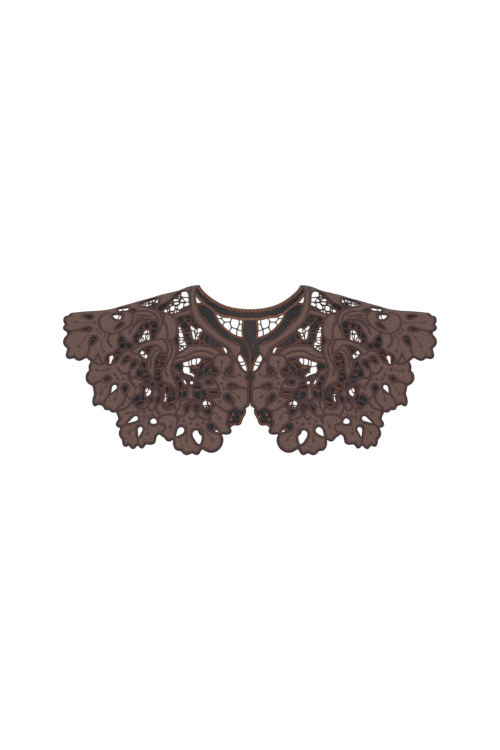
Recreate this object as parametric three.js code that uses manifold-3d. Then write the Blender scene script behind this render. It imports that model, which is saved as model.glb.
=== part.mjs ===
// A detachable cutwork lace collar: a cape-like collar of cloth sprays, leaves and bosses round a neck band,
// open at the centre front, worn over rounded shoulders. Millimetres, +Z up, the front faces -Y.
// The origin is between the two corners of the neck, where the collar sits on the shoulders.
import * as THREE from "three";
import { mergeVertices } from "three/addons/utils/BufferGeometryUtils.js";
import Module from "manifold-3d";

const wasm = await Module();
wasm.setup();

// Driving sizes
const clothThickness = 1.6;
const seamGap = 0.3; // clear space between neighbouring pieces
const outlineTolerance = 0.55; // how far a chord may leave the curve it follows
const seamTolerance = 0.8;
const sampleStep = 1.5;
const eyeletSides = 6;
const cutterDepth = 6;
const centreOverlap = 0.5; // past the centre back, where the halves join
const leastBend = 0.6; // limit to how far a seam's corner is widened
const clothReach = 260; // longest way along the cloth from the ridge
const searchRounds = 30;
const slopeStep = 0.5;
const tiny = 1e-5;
const clasp = { across: 9, tall: 4.5, thick: 1, drop: 119, corner: 1.2, cornerSteps: 2, clearance: 0.7 };
const front = 1;
const back = -1;

// Lines the cloth bends along while it is flat: across from the centre, and behind the ridge
const bendsAcross = [-centreOverlap, 42, 74, 110, 150, 195, 240];
const bendsBehind = [-290, -180, -112, -68, -40, -23, -10, 0, 10, 23, 40, 68, 112, 180, 290];

// Seam along the ridge of the flat cloth: [across, behind]
const ridgeSeam = [[76.3, 0], [240, 0]];

// Section of the shoulders from the back hem over the ridge to the front hem: [forward, down]
const shoulderSection = [
  [-98, 205], [-92, 150], [-83, 100], [-72, 60], [-55, 30], [-42, 20], [-31, 12.7], [-18, 5.8], [-9, 1.5],
  [0, 0], [6.5, 1], [13, 4], [29, 14], [45, 27], [58, 40], [70, 52], [89, 75], [103, 110], [114, 150],
  [128, 218],
];

// How far the shoulder ridge drops on its way out: [across, drop]
const ridgeLine = [
  [0, 0], [40, 0], [62.8, 0.3], [75, 2.5], [90, 8.2], [100, 10.4], [112.5, 13.5], [125.8, 17.9],
  [138.8, 21.3], [149, 24.1], [162, 27.5], [172.9, 30.6], [185.6, 32.8], [205.6, 34.3], [225.5, 36],
  [240, 37],
];

// Depth of the section on its way out to the arm: [across, share of the full depth]
const depthLine = [[0, 1], [65, 1], [110, 0.9], [150, 0.75], [190, 0.63], [220, 0.55], [240, 0.52]];

// All outlines below are one half as it shows from straight ahead: [across from the centre, drop below
// the neck corners, 1 where the line turns sharply]. The other half is its mirror image.

// Hem of the front, from the end of the ridge round the lobes of the five sprays to the neck tab
const hemFront = [
  [225.3, 36, 1], [228, 38.4], [231.5, 38.8], [233.8, 41.5], [233.8, 45.5], [231.8, 49.3, 1],
  [234.2, 52.3], [233.8, 55.6], [230.5, 57.9], [225.3, 58.9, 1],
  [229.5, 62.5], [233.2, 67], [234.2, 71.5], [232.3, 76.3], [228.6, 79.3, 1],
  [230, 84], [230.6, 89.3], [228.5, 92], [224.5, 92.4], [220.4, 91.1, 1],
  [217.5, 94], [213, 94.8], [208.5, 93], [204.4, 90.6, 1], [202.3, 93.3], [199, 95.4, 1],
  [201.2, 98.2], [202.2, 102], [201.3, 106.8, 1], [204.5, 110.2], [205.8, 115], [204.8, 120.5],
  [201.3, 124.2], [196.8, 126.4, 1], [196.4, 131], [195, 136, 1],
  [197, 142], [197.4, 147.5], [195.3, 151.7], [192.5, 152], [189.4, 149.3, 1],
  [187, 150.8], [184.1, 151.3, 1], [183.3, 154], [181.5, 156.5], [179.5, 157], [177, 156, 1],
  [175, 158], [172.5, 159.9], [170, 160], [168, 158.8, 1], [167.2, 161], [165.5, 165],
  [164.6, 168.2, 1], [166.8, 171], [168.2, 174.5], [167, 177.3], [164.5, 178.7], [161.9, 178.7, 1],
  [163.6, 182], [164.4, 187], [163, 190.7], [160.4, 193.5, 1],
  [160.2, 197], [159, 200.8], [156.5, 202.7], [153.8, 202.2], [152, 200.4, 1],
  [150.2, 203], [147.8, 205.4], [145, 205.2], [142.5, 203], [140.3, 200.2, 1],
  [138.6, 203.3], [135.8, 204.8], [133, 204], [131.3, 201.3], [130, 199, 1],
  [127, 199.9], [122.5, 199.8], [118.8, 198], [117.2, 194.5], [116.6, 190], [114.2, 186.7, 1],
  [112.3, 187.6], [110.3, 190, 1], [108.3, 190.4], [106.8, 192], [104.5, 195], [101.5, 196],
  [98.8, 195.4], [96, 193.2, 1], [96.7, 197], [95.8, 202], [93.5, 206], [90.5, 207.6], [87.2, 207.3, 1],
  [85.3, 209.6], [83, 212], [79.5, 213.1], [76, 212], [72.4, 210.1, 1],
  [70, 211.8], [66.8, 213], [63.8, 211.8], [61.5, 208.5], [60, 204.9, 1],
  [56.5, 207.2], [51, 209.6], [46, 209.7], [40.5, 207.4], [36, 203], [33.3, 197], [33.3, 190.5],
  [35.2, 186.2, 1], [31, 187.2], [27, 187], [23.5, 185], [22.6, 181.5], [24.1, 178.8, 1],
  [26, 175], [27.4, 172.3, 1], [25.2, 167.5], [25, 163], [26.3, 159.4, 1],
  [23.5, 158.7], [20.5, 157.2], [18.7, 154.8, 1], [17, 156.5], [14.5, 158.3], [11, 159.2], [7, 157.6],
  [5.2, 153.6, 1], [2.5, 152.7], [1.3, 151], [0.7, 147], [0.35, 140], [0.35, 133], [0.8, 131],
  [1.6, 129.5, 1], [0.8, 127.6], [0.35, 125], [0.6, 119.5], [2.4, 118], [3, 115.5], [2.4, 113],
  [1, 110.2, 1], [3.4, 108.3], [7, 106], [10.3, 102], [12, 98], [15, 94, 1],
  [14, 89], [10.8, 85.5], [9.6, 80], [10, 75, 1],
];

// Front edge of the neck, from the tab up to the corner of the neck
const neckFront = [
  [10, 75, 1], [18.8, 72.4], [35, 63.5], [48.5, 51.3], [59.4, 39.9], [64.8, 27.5], [67.5, 14.1], [66.8, 3.9],
  [62.8, 0.3, 1],
];

// Back edge of the neck, from its corner to the centre
const neckBack = [
  [62.8, 0.3, 1], [60, 4.6], [55, 10], [45, 18], [35, 23.6], [25, 27.1], [10, 29.7], [0, 30.2, 1],
];

// Hem of the back, from the end of the ridge to the centre
const hemBack = [
  [225.3, 36, 1], [229, 40], [230, 46], [226, 51, 1], [229.5, 56], [228.5, 63], [222, 66.5, 1],
  [224.5, 72], [221, 80], [213, 83], [207, 82, 1], [205, 87], [199.5, 91.5], [193, 90, 1],
  [197, 95], [199, 102], [196, 110], [190, 113.5], [186.5, 112.5, 1],
  [185, 118], [179.5, 122], [173, 121.5], [168, 118.5, 1], [165.5, 124], [165.3, 130], [163.5, 136],
  [160.5, 140, 1], [162.8, 146], [161.5, 152.5], [156, 156.8], [150, 156, 1],
  [147, 161], [140, 162.8], [133.5, 161], [130, 157, 1], [126, 161.8], [119, 163.6], [112.5, 161.5],
  [109, 156, 1], [108.5, 163], [104.5, 169], [97.5, 170.8], [93, 168.5, 1],
  [91, 173.5], [85, 176], [78.5, 175.8], [75, 173, 1], [72.5, 177], [69, 180], [66.3, 182], [65, 185],
  [63, 188.3], [58, 189.6], [52, 185.4, 1], [48, 184.8], [41, 181.2], [36, 179.4], [33, 176, 1],
  [30, 179.6], [26, 180], [24, 179], [22.5, 177, 1], [20.5, 175.8], [17, 176.4], [13, 175.8],
  [10.7, 173.5], [9.5, 170], [8, 166], [5.6, 162.5], [4.7, 158], [5.3, 154], [4, 150.5], [1.5, 148],
  [0, 147.4, 1],
];

// Gaps of the front between the motifs, which threads cross
const gapsFront = {
  cornerKeyhole: [
    [124.6, 170.2], [122.5, 167.2], [119.5, 167], [117.2, 169.3], [116.2, 172.9, 1], [119.5, 173.3],
    [123.4, 172.5],
  ],
  hemDrop: [
    [67.5, 181.6], [64.5, 182.2], [61.5, 185.2], [60.3, 189.5], [60.9, 194], [62.4, 199.3, 1],
    [66, 197], [69.3, 192], [71.4, 188], [71.5, 184.4], [69.8, 182.2],
  ],
  centreBean: [
    [23, 102.8], [25.5, 103.4], [28.6, 106.8], [30.2, 110.8], [28, 112.8], [24.5, 110.8], [22.8, 107],
  ],
  ridgeSlot: [
    [152, 28.8], [158, 29], [164.5, 30], [164.3, 32], [158, 32.3], [152.5, 31.6],
  ],
  bossWindow: [
    [172.3, 37, 1], [165, 36.6], [160.2, 37.3], [160.5, 40], [162.4, 43, 1], [165.4, 42.9],
    [168.3, 41.8], [170.6, 39.8],
  ],
  ridgeSlit: [
    [149.3, 31.4], [146.5, 30.8], [143, 32.6], [143.2, 34.2], [146, 33.8], [148.8, 33.3],
  ],
  ridgeNet: [
    [137.5, 24.2], [133, 22], [127, 19.6], [121, 18], [115.5, 17.8], [115.3, 20.5], [116.3, 25],
    [118, 28.8], [121.5, 28.3], [125.5, 27.6], [131, 26.6], [136, 25.8],
  ],
  shoulderNet: [
    [90.3, 10], [85.5, 8.2], [79.5, 8.6], [77.6, 12], [77, 20], [76.6, 28.8], [81, 31], [87, 32.6],
    [92, 34.8], [97.5, 35.8], [102.5, 34.8], [107.5, 33.8], [112.3, 32.4], [114.6, 29.3], [112.5, 26.8],
    [107.5, 24.6], [101.5, 21.4], [97.2, 17.4], [93.6, 13],
  ],
  neckNet: [
    [90.3, 42.2], [86, 40.2], [81, 39.6], [76, 38.2], [73, 38.2], [71.4, 42.5], [69, 47.2],
    [65.5, 51.3], [60.8, 55.6], [57.5, 60], [53.2, 64.5], [48.8, 67.8], [43, 71.6], [38.5, 75],
    [34, 77.6], [31.5, 78.4], [28.2, 85.2, 1], [31.5, 84.8], [35.5, 82.6], [39.5, 80.2], [44.5, 77.2],
    [50, 75.2], [57, 74.3], [66, 74.1], [73, 74.3], [79, 76], [80.2, 78.2], [83.5, 80.6], [88, 83, 1],
    [88.6, 79.5], [88.6, 76], [91.5, 74.3], [93.6, 70], [92.6, 65.8], [89.5, 63], [88.8, 57],
    [89.3, 51], [90.2, 46.5],
  ],
  fanNet: [
    [144.3, 68.5], [144, 64.5], [141.5, 60.8], [139, 57.5], [137.8, 54], [135.5, 51], [131, 49],
    [126.5, 48.2], [123.5, 46.8], [119.5, 46], [116.6, 47.5], [116.3, 53], [117, 58.5], [119, 63.5],
    [120.5, 67.5], [124.5, 67.8], [128, 69.3], [132, 70.2], [136.5, 71.2], [141, 72.6], [143.5, 71.4],
  ],
  fanFoot: [
    [161.2, 64, 1], [158.5, 67.5], [156, 71], [152.5, 73.6], [148.5, 74.6], [147.3, 77], [149.5, 79.3],
    [154, 80], [158.5, 80.2], [161.5, 78.8], [163, 75], [163, 69.5], [162.6, 66.5],
  ],
  sprayGap: [
    [179, 93.5], [178.2, 89], [175.5, 86.8], [171.5, 87.2], [168.8, 85.6], [166.6, 82], [163.3, 80.6],
    [161.6, 84], [162.2, 88.5], [165, 91.5], [167, 95.3], [169.5, 96.4], [172.3, 97], [175, 99.2],
    [177.6, 97.2],
  ],
  armGap: [
    [137, 84.8], [134.5, 81.4], [130.5, 79], [126, 77.4], [122.3, 77.3], [123, 80], [125.8, 83.8],
    [127.8, 88], [128, 92], [129.2, 95.3], [132, 93.5], [134.2, 90], [136.2, 87.4],
  ],
  leafGapOuter: [
    [133.2, 96], [130.4, 96.6], [130.3, 101], [130, 105], [128, 110], [126, 113.8], [125.4, 118],
    [125.3, 121.5], [126, 124.2], [129, 124.3], [130.3, 121], [132.2, 118.6], [135, 115.5],
    [139.5, 114.6], [140.6, 110], [138.8, 105.8], [136.6, 103.8], [135.8, 100.5],
  ],
  tulipNet: [
    [134, 126.5], [131, 125.2], [127.2, 125.3], [126.5, 128], [123.8, 128.6], [122.8, 132],
    [123.2, 136], [124.8, 138.3], [128.5, 139.6], [130.3, 141.5], [131.5, 144.5], [133.6, 147.6],
    [136, 150.8], [138.5, 151.6], [140.8, 149.2], [143.2, 147.6], [145.6, 144.8], [143.5, 141.5],
    [140, 138.6], [136.6, 138], [134.2, 137], [133, 133],
  ],
  leafTip: [
    [121.5, 121.6], [119.8, 124], [118.8, 128], [120.5, 129.8], [122.7, 128.5], [122.9, 124.5],
  ],
  leafGapInner: [
    [112.8, 86.5], [109, 85.6], [106.3, 87], [105.7, 89.8], [107.6, 93.5], [107, 98], [108.3, 101.3],
    [110.8, 104], [111.3, 108], [112.6, 111.5], [112, 116], [111.3, 119.3], [112.8, 121], [116, 120.3],
    [118.8, 116.6], [118, 111.5], [116.8, 107], [117, 101], [116.8, 95], [115.6, 91], [113.8, 88.8],
  ],
  stemNetOuter: [
    [113.8, 127], [112.6, 123.6], [109, 122.6], [105, 124.3], [101, 126.8], [98, 129], [95.3, 132.8],
    [93.3, 138], [93.6, 143], [95.2, 147.5], [97, 151.5], [100.5, 153.4], [104.5, 153], [107.2, 150.3],
    [107.4, 145.5], [106.2, 141.5], [106.4, 137.5], [108, 135], [111, 134.2], [113.3, 131.5],
  ],
  stemNetInner: [
    [92.6, 115.2], [89, 114.8], [85, 116], [82, 119], [79.4, 124.4], [79.3, 130], [79.4, 136.5],
    [81.2, 140.6], [84.8, 143], [87.8, 141], [88.4, 136], [88.3, 131], [87.6, 127.5], [89.3, 122.5],
    [91.6, 118.8],
  ],
  lobeNet: [
    [75.3, 120.8], [70, 120.4], [66.8, 122.8], [63, 123.6], [62, 127.5], [61, 131.6], [56.5, 132.8],
    [53.2, 134], [53.6, 137.5], [54.3, 140.5], [52.6, 143.6], [49.2, 146.3], [45.3, 148.8],
    [45.8, 151.2], [49.3, 152.5], [49.6, 157], [50, 161.6], [53.5, 161.2], [56.8, 157], [58.6, 152.5],
    [58.8, 147.5], [60.3, 144.3], [62.8, 142.6], [66.3, 141.4], [68.9, 137.5], [69.2, 132.5],
    [70.5, 127.5], [73, 124.4],
  ],
  archNet: [
    [93.6, 100.6], [89.5, 98.8], [85, 97.6], [80.5, 96.6], [76, 95], [71.5, 92.9], [66, 91.8],
    [60.5, 91.9], [55, 93], [50.5, 93], [47.3, 95], [46.8, 99], [45.6, 103], [41.6, 105.8], [40.4, 109],
    [42, 112.2], [47, 113], [52.5, 112.2], [58, 113], [62, 115.2], [66.5, 116], [69.5, 115.2],
    [74, 112.4], [78.5, 110.9], [83.6, 108.8], [87, 105.9], [91, 105],
  ],
};

// Gaps of the back
const gapsBack = {
  shoulderNet: [
    [58.8, 22.8, 1], [62, 19.8], [65.5, 16], [68.5, 12], [73, 8], [79, 6.6], [85, 8], [91, 12.5],
    [96.8, 17], [99.8, 21.5], [103, 26], [108, 29.5], [110.5, 32.5], [107.5, 36.5], [100, 38.2],
    [94, 37], [89, 33.5], [84, 29], [78, 26], [72, 23.8], [66.5, 22.8],
  ],
  neckNet: [
    [43.8, 35.4, 1], [41, 36.2], [38, 38], [34.5, 39.8], [30, 40.3], [24, 40.8], [18, 42.2],
    [9, 43.6, 1], [9.3, 48], [9.9, 52], [10, 57], [9.7, 61], [9, 65.4, 1], [13, 64.9], [17, 63.4],
    [21, 61.7], [24, 59.8], [27.5, 57], [31, 54.3], [34.5, 50.6], [37, 48], [39.2, 45], [41, 41.5],
    [42.3, 38.6],
  ],
  leafGapOuter: [
    [90.5, 48.5], [88.5, 50], [86.5, 54], [84.8, 58], [83.5, 63], [82, 68], [80.5, 73], [78.5, 78],
    [82, 82], [88, 84.5], [90.5, 81], [89.2, 74], [89, 66], [90.5, 60], [92.5, 54],
  ],
  leafGapInner: [
    [75, 50], [71.5, 51.8], [69, 54.5], [66, 54.2], [62, 53], [58.5, 54.5], [59.5, 58], [63, 61.2],
    [64.3, 65.5], [67, 68.8], [69.3, 70], [71.3, 67.5], [72.8, 63], [73.5, 58], [74.8, 54],
  ],
  ridgeNet: [
    [112, 16.8], [118, 17.2], [124, 19.2], [130, 21], [136, 23], [139, 25], [136, 27], [130, 27.5],
    [124, 25.5], [118, 23], [113, 21.5], [110.5, 19.5],
  ],
  ridgeSlot: [
    [149, 28.2], [157, 28.6], [166, 30.8], [165.5, 33.4], [157, 34.2], [150, 32.8],
  ],
  bossWindow: [
    [161.5, 38], [170, 36.8], [175, 39], [174, 44], [166.5, 45.5], [161.5, 42.5],
  ],
  fanGap: [
    [127, 53.5], [130, 55.5], [133.5, 58.5], [135, 63], [138, 66], [139.5, 70], [137, 73], [130, 73],
    [126, 70.5], [125.5, 64], [126, 58],
  ],
  armGap: [
    [138, 82], [135.5, 81], [133.3, 82.8], [132, 85], [129.5, 86.5], [127.5, 88], [128, 91.8],
    [131, 92.5], [134.5, 91], [138.5, 87],
  ],
  sprayGap: [
    [176, 88.5], [173.5, 87.5], [170.5, 88.5], [170.2, 91], [172, 93.5], [173.3, 96.5], [174, 99.5],
    [177, 99.5], [176.5, 95],
  ],
  archNet: [
    [85, 94], [78, 91.5], [70, 89], [62, 89.5], [60.5, 92.5], [62.5, 96], [65, 99.5], [70, 100.6],
    [74, 101.2], [75.8, 103.5], [74.5, 107.5], [71.5, 110.8], [69, 114], [70, 116], [74, 113.8],
    [78.5, 112], [82, 110.8], [86, 108.8], [84.5, 105], [84, 100],
  ],
  neckDrop: [
    [34.2, 77], [31, 76.8], [27.8, 79.5], [26.5, 84], [28, 87], [30.3, 86.5], [32, 83.2], [33.8, 79.8],
  ],
  centreNet: [
    [14.5, 86.8], [12, 87], [10, 89.8], [7.8, 93.2], [5.8, 97], [4.6, 101], [3.7, 105], [4, 109],
    [9, 107], [12.5, 101], [15.5, 94], [15.8, 89],
  ],
  stemGap: [
    [87, 115.8], [84.5, 116], [80, 118.5], [75, 119.8], [70.8, 120.3], [71.3, 124.2], [75, 126.8],
    [79.5, 126], [82, 123.6], [83.8, 121.3], [85.2, 118.6],
  ],
  tulipGap: [
    [131, 129.5], [127.5, 128.5], [124.5, 129], [123.5, 133], [125.3, 137.5], [128, 139.5],
    [131, 140.5], [132, 137], [131.8, 133],
  ],
  lobeNet: [
    [54, 144], [58, 145], [60.5, 148.5], [59, 152], [56.5, 153.8], [53, 153.2], [50.5, 151.2],
    [49, 148.5], [51, 145.8],
  ],
  stemSlot: [
    [99, 86], [103, 84], [104.5, 92], [103.5, 102], [101, 111], [97.5, 106], [96, 95],
  ],
  elbowGap: [
    [150, 103], [156, 99.5], [161, 103], [160, 109.5], [154, 112.5], [150, 109],
  ],
  centreDrop: [
    [6, 134], [12, 129], [17, 134], [18, 142], [13, 147], [8, 143],
  ],
  scrollDrop: [
    [33, 152], [40, 155], [42, 163], [38, 171], [32, 168], [30, 159],
  ],
  leafDrop: [
    [106.5, 134.3], [104.6, 137.5], [104.7, 141.5], [105.4, 144.5], [107.2, 147.2], [110.5, 147],
    [112, 141.5], [110.5, 136],
  ],
  bossDrop: [
    [176, 43], [182, 42], [185, 49], [182, 56], [177, 54], [175, 48],
  ],
};

// Eyelets, each a round end with a point: [across, drop, radius, point across, point drop]
const eyeletsFront = [
  [200.2, 39.9, 2.3, 208.5, 38.3], [202, 55.3, 2.2, 212, 56], [195.3, 67.5, 3, 200, 75.8],
  [161.5, 49.5, 2.2, 168.9, 55.3], [153.5, 92.3, 2.6, 159, 98], [144, 97, 2.9, 148, 104],
  [177.5, 117, 2.4, 184.3, 120.2], [169.4, 127.8, 3.2, 173.6, 135.2], [156.2, 128, 3, 155.6, 135.3],
  [143, 166.8, 3.2, 153.4, 172.8], [137.2, 180.2, 3.1, 139.4, 190.2], [86.3, 182, 4.4, 92.5, 189.3],
  [78.2, 151.8, 2.9, 78.9, 159.3], [66.7, 152.3, 3.3, 66.2, 159.6], [122.7, 142.6, 1.3, 125, 147.6],
  [114, 142, 2.2, 115.6, 148.3], [24.3, 125.9, 2.2, 15, 127.5], [28.2, 139.8, 3, 21.3, 149],
  [48.8, 177, 3.6, 38.4, 184.6], [52.6, 121.8, 2.4, 46, 121.8], [43.8, 136, 3, 52.5, 134.2],
];
const eyeletsBack = [
  [211, 46.5, 2.6, 219.5, 44], [209, 62, 2.8, 216, 66], [86, 160.5, 3, 88, 168.5],
];

// Seams between the pieces of the front
const seamsFront = [
  // shoulder spray inner
  [
    [190, 28], [188.9, 44], [188.7, 50], [186, 55.3], [181, 59], [177.3, 66], [177, 71.5], [174, 76.5],
    [170.5, 80.5], [171, 91],
  ],
  // shoulder spray lower
  [
    [174, 93], [181, 96.8], [184, 99], [188, 99.5], [193, 97.5], [199, 95.4], [203, 95.8],
  ],
  // side spray inner
  [
    [170, 94], [169, 97.8], [166.5, 99.5], [164.5, 104], [161.5, 108.8], [157.5, 111], [152.8, 111.5],
    [150.5, 116], [146.3, 124.3], [143.5, 127], [140.2, 128.8], [132, 130],
  ],
  // side spray lower
  [
    [142, 147], [147, 146.4], [150, 148.5], [152, 152.5], [156, 155], [162, 156.5], [168, 158.8],
    [169.6, 163],
  ],
  // corner spray inner
  [
    [138.5, 150], [138.3, 154.6], [134, 155.9], [130.5, 154.8], [127.8, 152.2], [126.6, 155],
    [124.5, 157.2], [121.5, 157.2], [119.3, 155], [117.4, 153.6], [115.8, 157.7], [113.5, 161.2],
    [110.5, 163.4], [113, 166.1], [119, 170],
  ],
  // corner spray lower
  [
    [119, 171.5], [116.5, 173.8], [111, 173.3], [107, 175], [105.3, 178.5], [107.2, 181.5],
    [110.5, 184.2], [114.2, 186.7], [114, 190.5],
  ],
  // hem spray upper
  [
    [110.5, 163.4], [106, 162.3], [101, 161.8], [95.5, 162.3], [91.8, 164], [88.5, 164.2], [84, 164.2],
    [79.5, 162.4], [76.4, 162.6], [75.8, 165.4], [72, 168.5], [68.4, 165.4], [67.2, 162.7],
    [63.5, 164.7], [59.5, 166.7], [54.5, 168.4], [50.3, 168.2], [49.5, 171], [48.8, 177],
  ],
  // hem spray end
  [
    [40.5, 183], [38.4, 184.6], [35.2, 186.2], [31.5, 190],
  ],
  // scroll end
  [
    [50.3, 168.2], [49.8, 164], [51.5, 159.5],
  ],
  // centre boss rim
  [
    [53.5, 142.5], [50.5, 142.4], [45.5, 141.3], [41, 140.2], [38.5, 137], [38.3, 132], [39.3, 127.5],
    [41.3, 123], [43.8, 119], [47.5, 115.4], [50, 113.3], [52, 110],
  ],
  // centre spray upper
  [
    [48.5, 97], [45.2, 94.3], [43.7, 90], [39.5, 87.3], [34, 87.5], [31, 86.4], [29.7, 83.6],
  ],
  // band at the shoulder
  [
    [76.3, 0], [77.6, 7], [79.5, 14],
  ],
  // band at the side
  [
    [79, 26], [77, 31], [76, 34.5], [73.5, 42],
  ],
  // band tab
  [
    [30.5, 82.5], [28, 85.6], [25, 87.6], [21.8, 91], [18.6, 94.6], [15, 94], [12, 94.2],
  ],
  // ridge net
  [
    [126, 14], [126, 21],
  ],
  // fan edge
  [
    [119.5, 27], [119.6, 32], [118.5, 36.5], [116, 41], [115.2, 45], [118.5, 50],
  ],
  // fan foot
  [
    [142, 70], [148.7, 77],
  ],
  // boss foot
  [
    [161, 77], [163.5, 84],
  ],
  // arm end
  [
    [149, 77.5], [149.6, 82], [147.4, 84.2], [145.4, 86.4], [141.8, 87], [138.3, 87.5], [134.5, 87.5],
  ],
  // arm foot
  [
    [131, 92.5], [132, 98],
  ],
  // leaf tip
  [
    [127.6, 122.5], [128.2, 127.5],
  ],
  // upper leaves foot
  [
    [121, 66], [119, 68.6], [115, 68.3], [108, 67.8], [104, 68.1], [99, 68.8], [95.5, 70.5],
    [90.5, 72.5],
  ],
  // arch start
  [
    [88.2, 80.5], [90.5, 82.8], [92, 85.5], [93.5, 90], [95.2, 95.5], [94.6, 98.8], [91.5, 101],
  ],
  // strip start
  [
    [91.5, 103], [96.5, 103.5], [98, 107], [97, 111.5], [95.6, 114.8], [90.5, 117.5],
  ],
  // hem tulip top
  [
    [85.5, 141], [85, 144.4], [80.5, 142.9], [76.3, 143.9], [73, 146.7], [69.8, 144.1], [66.5, 143],
    [62, 140],
  ],
  // hem tulip side
  [
    [85, 144.4], [87.7, 146.5], [86.9, 150], [88.4, 154.5], [91.3, 157.8], [92.7, 161], [91.8, 164],
  ],
  // corner tulip top
  [
    [125.5, 133], [119, 134.5], [111, 133.4],
  ],
  // corner tulip side
  [
    [106, 150], [109, 156], [110.5, 163.4],
  ],
];

// Seams between the pieces of the back
const seamsBack = [
  // shoulder spray inner
  [
    [187, 28], [185, 38.5], [178, 42.8], [177.5, 46],
  ],
  // shoulder spray middle
  [
    [180, 53], [178, 60], [176.5, 70], [175.5, 80], [173, 91],
  ],
  // shoulder spray lower
  [
    [175.2, 96.5], [184, 95.8], [189, 92.4], [193, 90], [198, 93],
  ],
  // side spray inner
  [
    [174.5, 97], [170, 104], [164, 107.2], [157, 106],
  ],
  // side spray lower
  [
    [157, 108], [159.5, 113.5], [163, 117], [168, 118.5], [170.5, 123],
  ],
  // corner spray inner
  [
    [153, 108], [148, 114.5], [141, 119.5], [134, 124], [128, 132],
  ],
  // corner spray lower
  [
    [128.5, 136], [124.5, 146.8], [118, 151], [112.5, 153.8], [109, 156], [109.7, 161.5],
  ],
  // hem spray upper
  [
    [112.5, 153.8], [106, 150], [98, 146], [90, 143], [82, 141.4], [74, 141.4], [66, 143], [57, 149],
  ],
  // hem spray inner
  [
    [53, 151], [46, 158], [37, 162],
  ],
  // hem spray end
  [
    [36, 166], [34, 172], [33, 176], [33.2, 182],
  ],
  // centre spray upper
  [
    [35, 156], [28, 149.5], [22, 145], [14, 140],
  ],
  // centre spray middle
  [
    [10, 138], [4, 137.4], [-2, 137.4],
  ],
  // centre line
  [
    [0, 79.6], [0, 156],
  ],
  // band at the shoulder
  [
    [76.3, 0], [76.3, 11],
  ],
  // band at the side
  [
    [61, 21.6], [57, 24], [52, 27], [46, 30.8], [43.5, 35.6], [41.2, 39],
  ],
  // band at the centre
  [
    [11, 46.5], [7, 43.2], [0, 42.8], [-2, 42.9],
  ],
  // centre leaf edge
  [
    [11, 63.2], [8.8, 66.5], [7, 68.5], [3, 73], [1.3, 78.4], [0, 79.6], [-2, 79],
  ],
  // neck leaf outer
  [
    [92, 34], [91, 42], [89.8, 53],
  ],
  // neck leaf middle
  [
    [88, 60], [81, 59.5], [71.5, 57],
  ],
  // neck leaf lower
  [
    [69, 61], [60, 70.5], [50, 75.5], [42, 78.4], [31, 81],
  ],
  // neck leaf foot
  [
    [28, 81], [19, 84], [12, 89],
  ],
  // neck leaf end
  [
    [11.5, 91.5], [4.5, 86.5], [-2, 85],
  ],
  // shoulder leaves foot
  [
    [87, 78], [95, 82], [101, 83], [101, 88],
  ],
  // shoulder leaves middle
  [
    [102, 90], [112, 85.8], [121, 85.2], [132.5, 88],
  ],
  // shoulder leaves end
  [
    [135, 86], [146, 87.6], [158, 86], [167, 87.6], [174, 92],
  ],
  // centre boss upper
  [
    [65, 62], [63.5, 70], [64, 80], [67, 92],
  ],
  // centre boss middle
  [
    [76, 110], [77.5, 120],
  ],
  // centre boss lower
  [
    [77, 124], [78, 135], [77, 141.4],
  ],
];

// A point on each piece that both halves have: [name, across, drop, side]
const pairedPieces = [
  ["shoulder_spray", 212, 70, front],
  ["side_spray", 190, 135, front],
  ["corner_spray", 150, 185, front],
  ["hem_spray", 80, 200, front],
  ["centre_spray", 10, 140, front],
  ["shoulder_boss", 175, 48, front],
  ["elbow_boss", 155, 88, front],
  ["upper_leaves", 100, 60, front],
  ["stem", 95, 75, front],
  ["arch_leaf", 70, 85, front],
  ["centre_boss", 48, 128, front],
  ["hem_tulip", 73, 155, front],
  ["corner_tulip", 120, 150, front],
  ["back_shoulder_spray", 205, 55, back],
  ["back_side_spray", 185, 107, back],
  ["back_corner_spray", 145, 145, back],
  ["back_hem_spray", 70, 165, back],
  ["back_centre_spray", 20, 165, back],
  ["back_neck_leaf", 60, 35, back],
  ["back_shoulder_leaves", 110, 45, back],
  ["back_middle", 115, 100, back],
  ["back_centre_boss", 40, 120, back],
];

// A point on each piece that crosses the centre back
const singlePieces = [
  ["neck_band", 66, 30, front],
  ["back_centre_leaf", 3, 55, back],
];

// A smooth line through rows of a table; a row whose third value is 1 is a corner.
function smoothLine(rows, closed = false) {
  const count = rows.length;
  const at = (i) => new THREE.Vector2(rows[(i + count) % count][0], rows[(i + count) % count][1]);
  const isCorner = (i) => rows[(i + count) % count][2] === 1;
  const hasRow = (i) => closed || (i >= 0 && i < count);
  const slope = (a, b, c) => {
    const before = a.distanceTo(b);
    const after = b.distanceTo(c);
    const first = b.clone().sub(a).multiplyScalar(after / before);
    const second = c.clone().sub(b).multiplyScalar(before / after);
    return first.add(second).divideScalar(before + after);
  };
  const points = [];
  for (let i = 0; i < (closed ? count : count - 1); i++) {
    const from = at(i);
    const to = at(i + 1);
    const length = from.distanceTo(to);
    const chord = to.clone().sub(from).divideScalar(length);
    let leave = isCorner(i) || !hasRow(i - 1) ? null : slope(at(i - 1), from, to);
    let arrive = isCorner(i + 1) || !hasRow(i + 2) ? null : slope(from, to, at(i + 2));
    const bowed = (other) => (other ? chord.clone().multiplyScalar(1.5).addScaledVector(other, -0.5) : chord);
    leave ??= bowed(arrive);
    arrive ??= bowed(leave === chord ? null : leave);
    const steps = Math.max(1, Math.round(length / sampleStep));
    for (let j = 0; j < steps; j++) {
      const t = j / steps;
      const point = from.clone().multiplyScalar(2 * t ** 3 - 3 * t ** 2 + 1);
      point.addScaledVector(leave, length * (t ** 3 - 2 * t ** 2 + t));
      point.addScaledVector(to, -2 * t ** 3 + 3 * t ** 2);
      point.addScaledVector(arrive, length * (t ** 3 - t ** 2));
      points.push(point);
    }
  }
  if (!closed) points.push(at(count - 1));
  return points;
}

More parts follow.
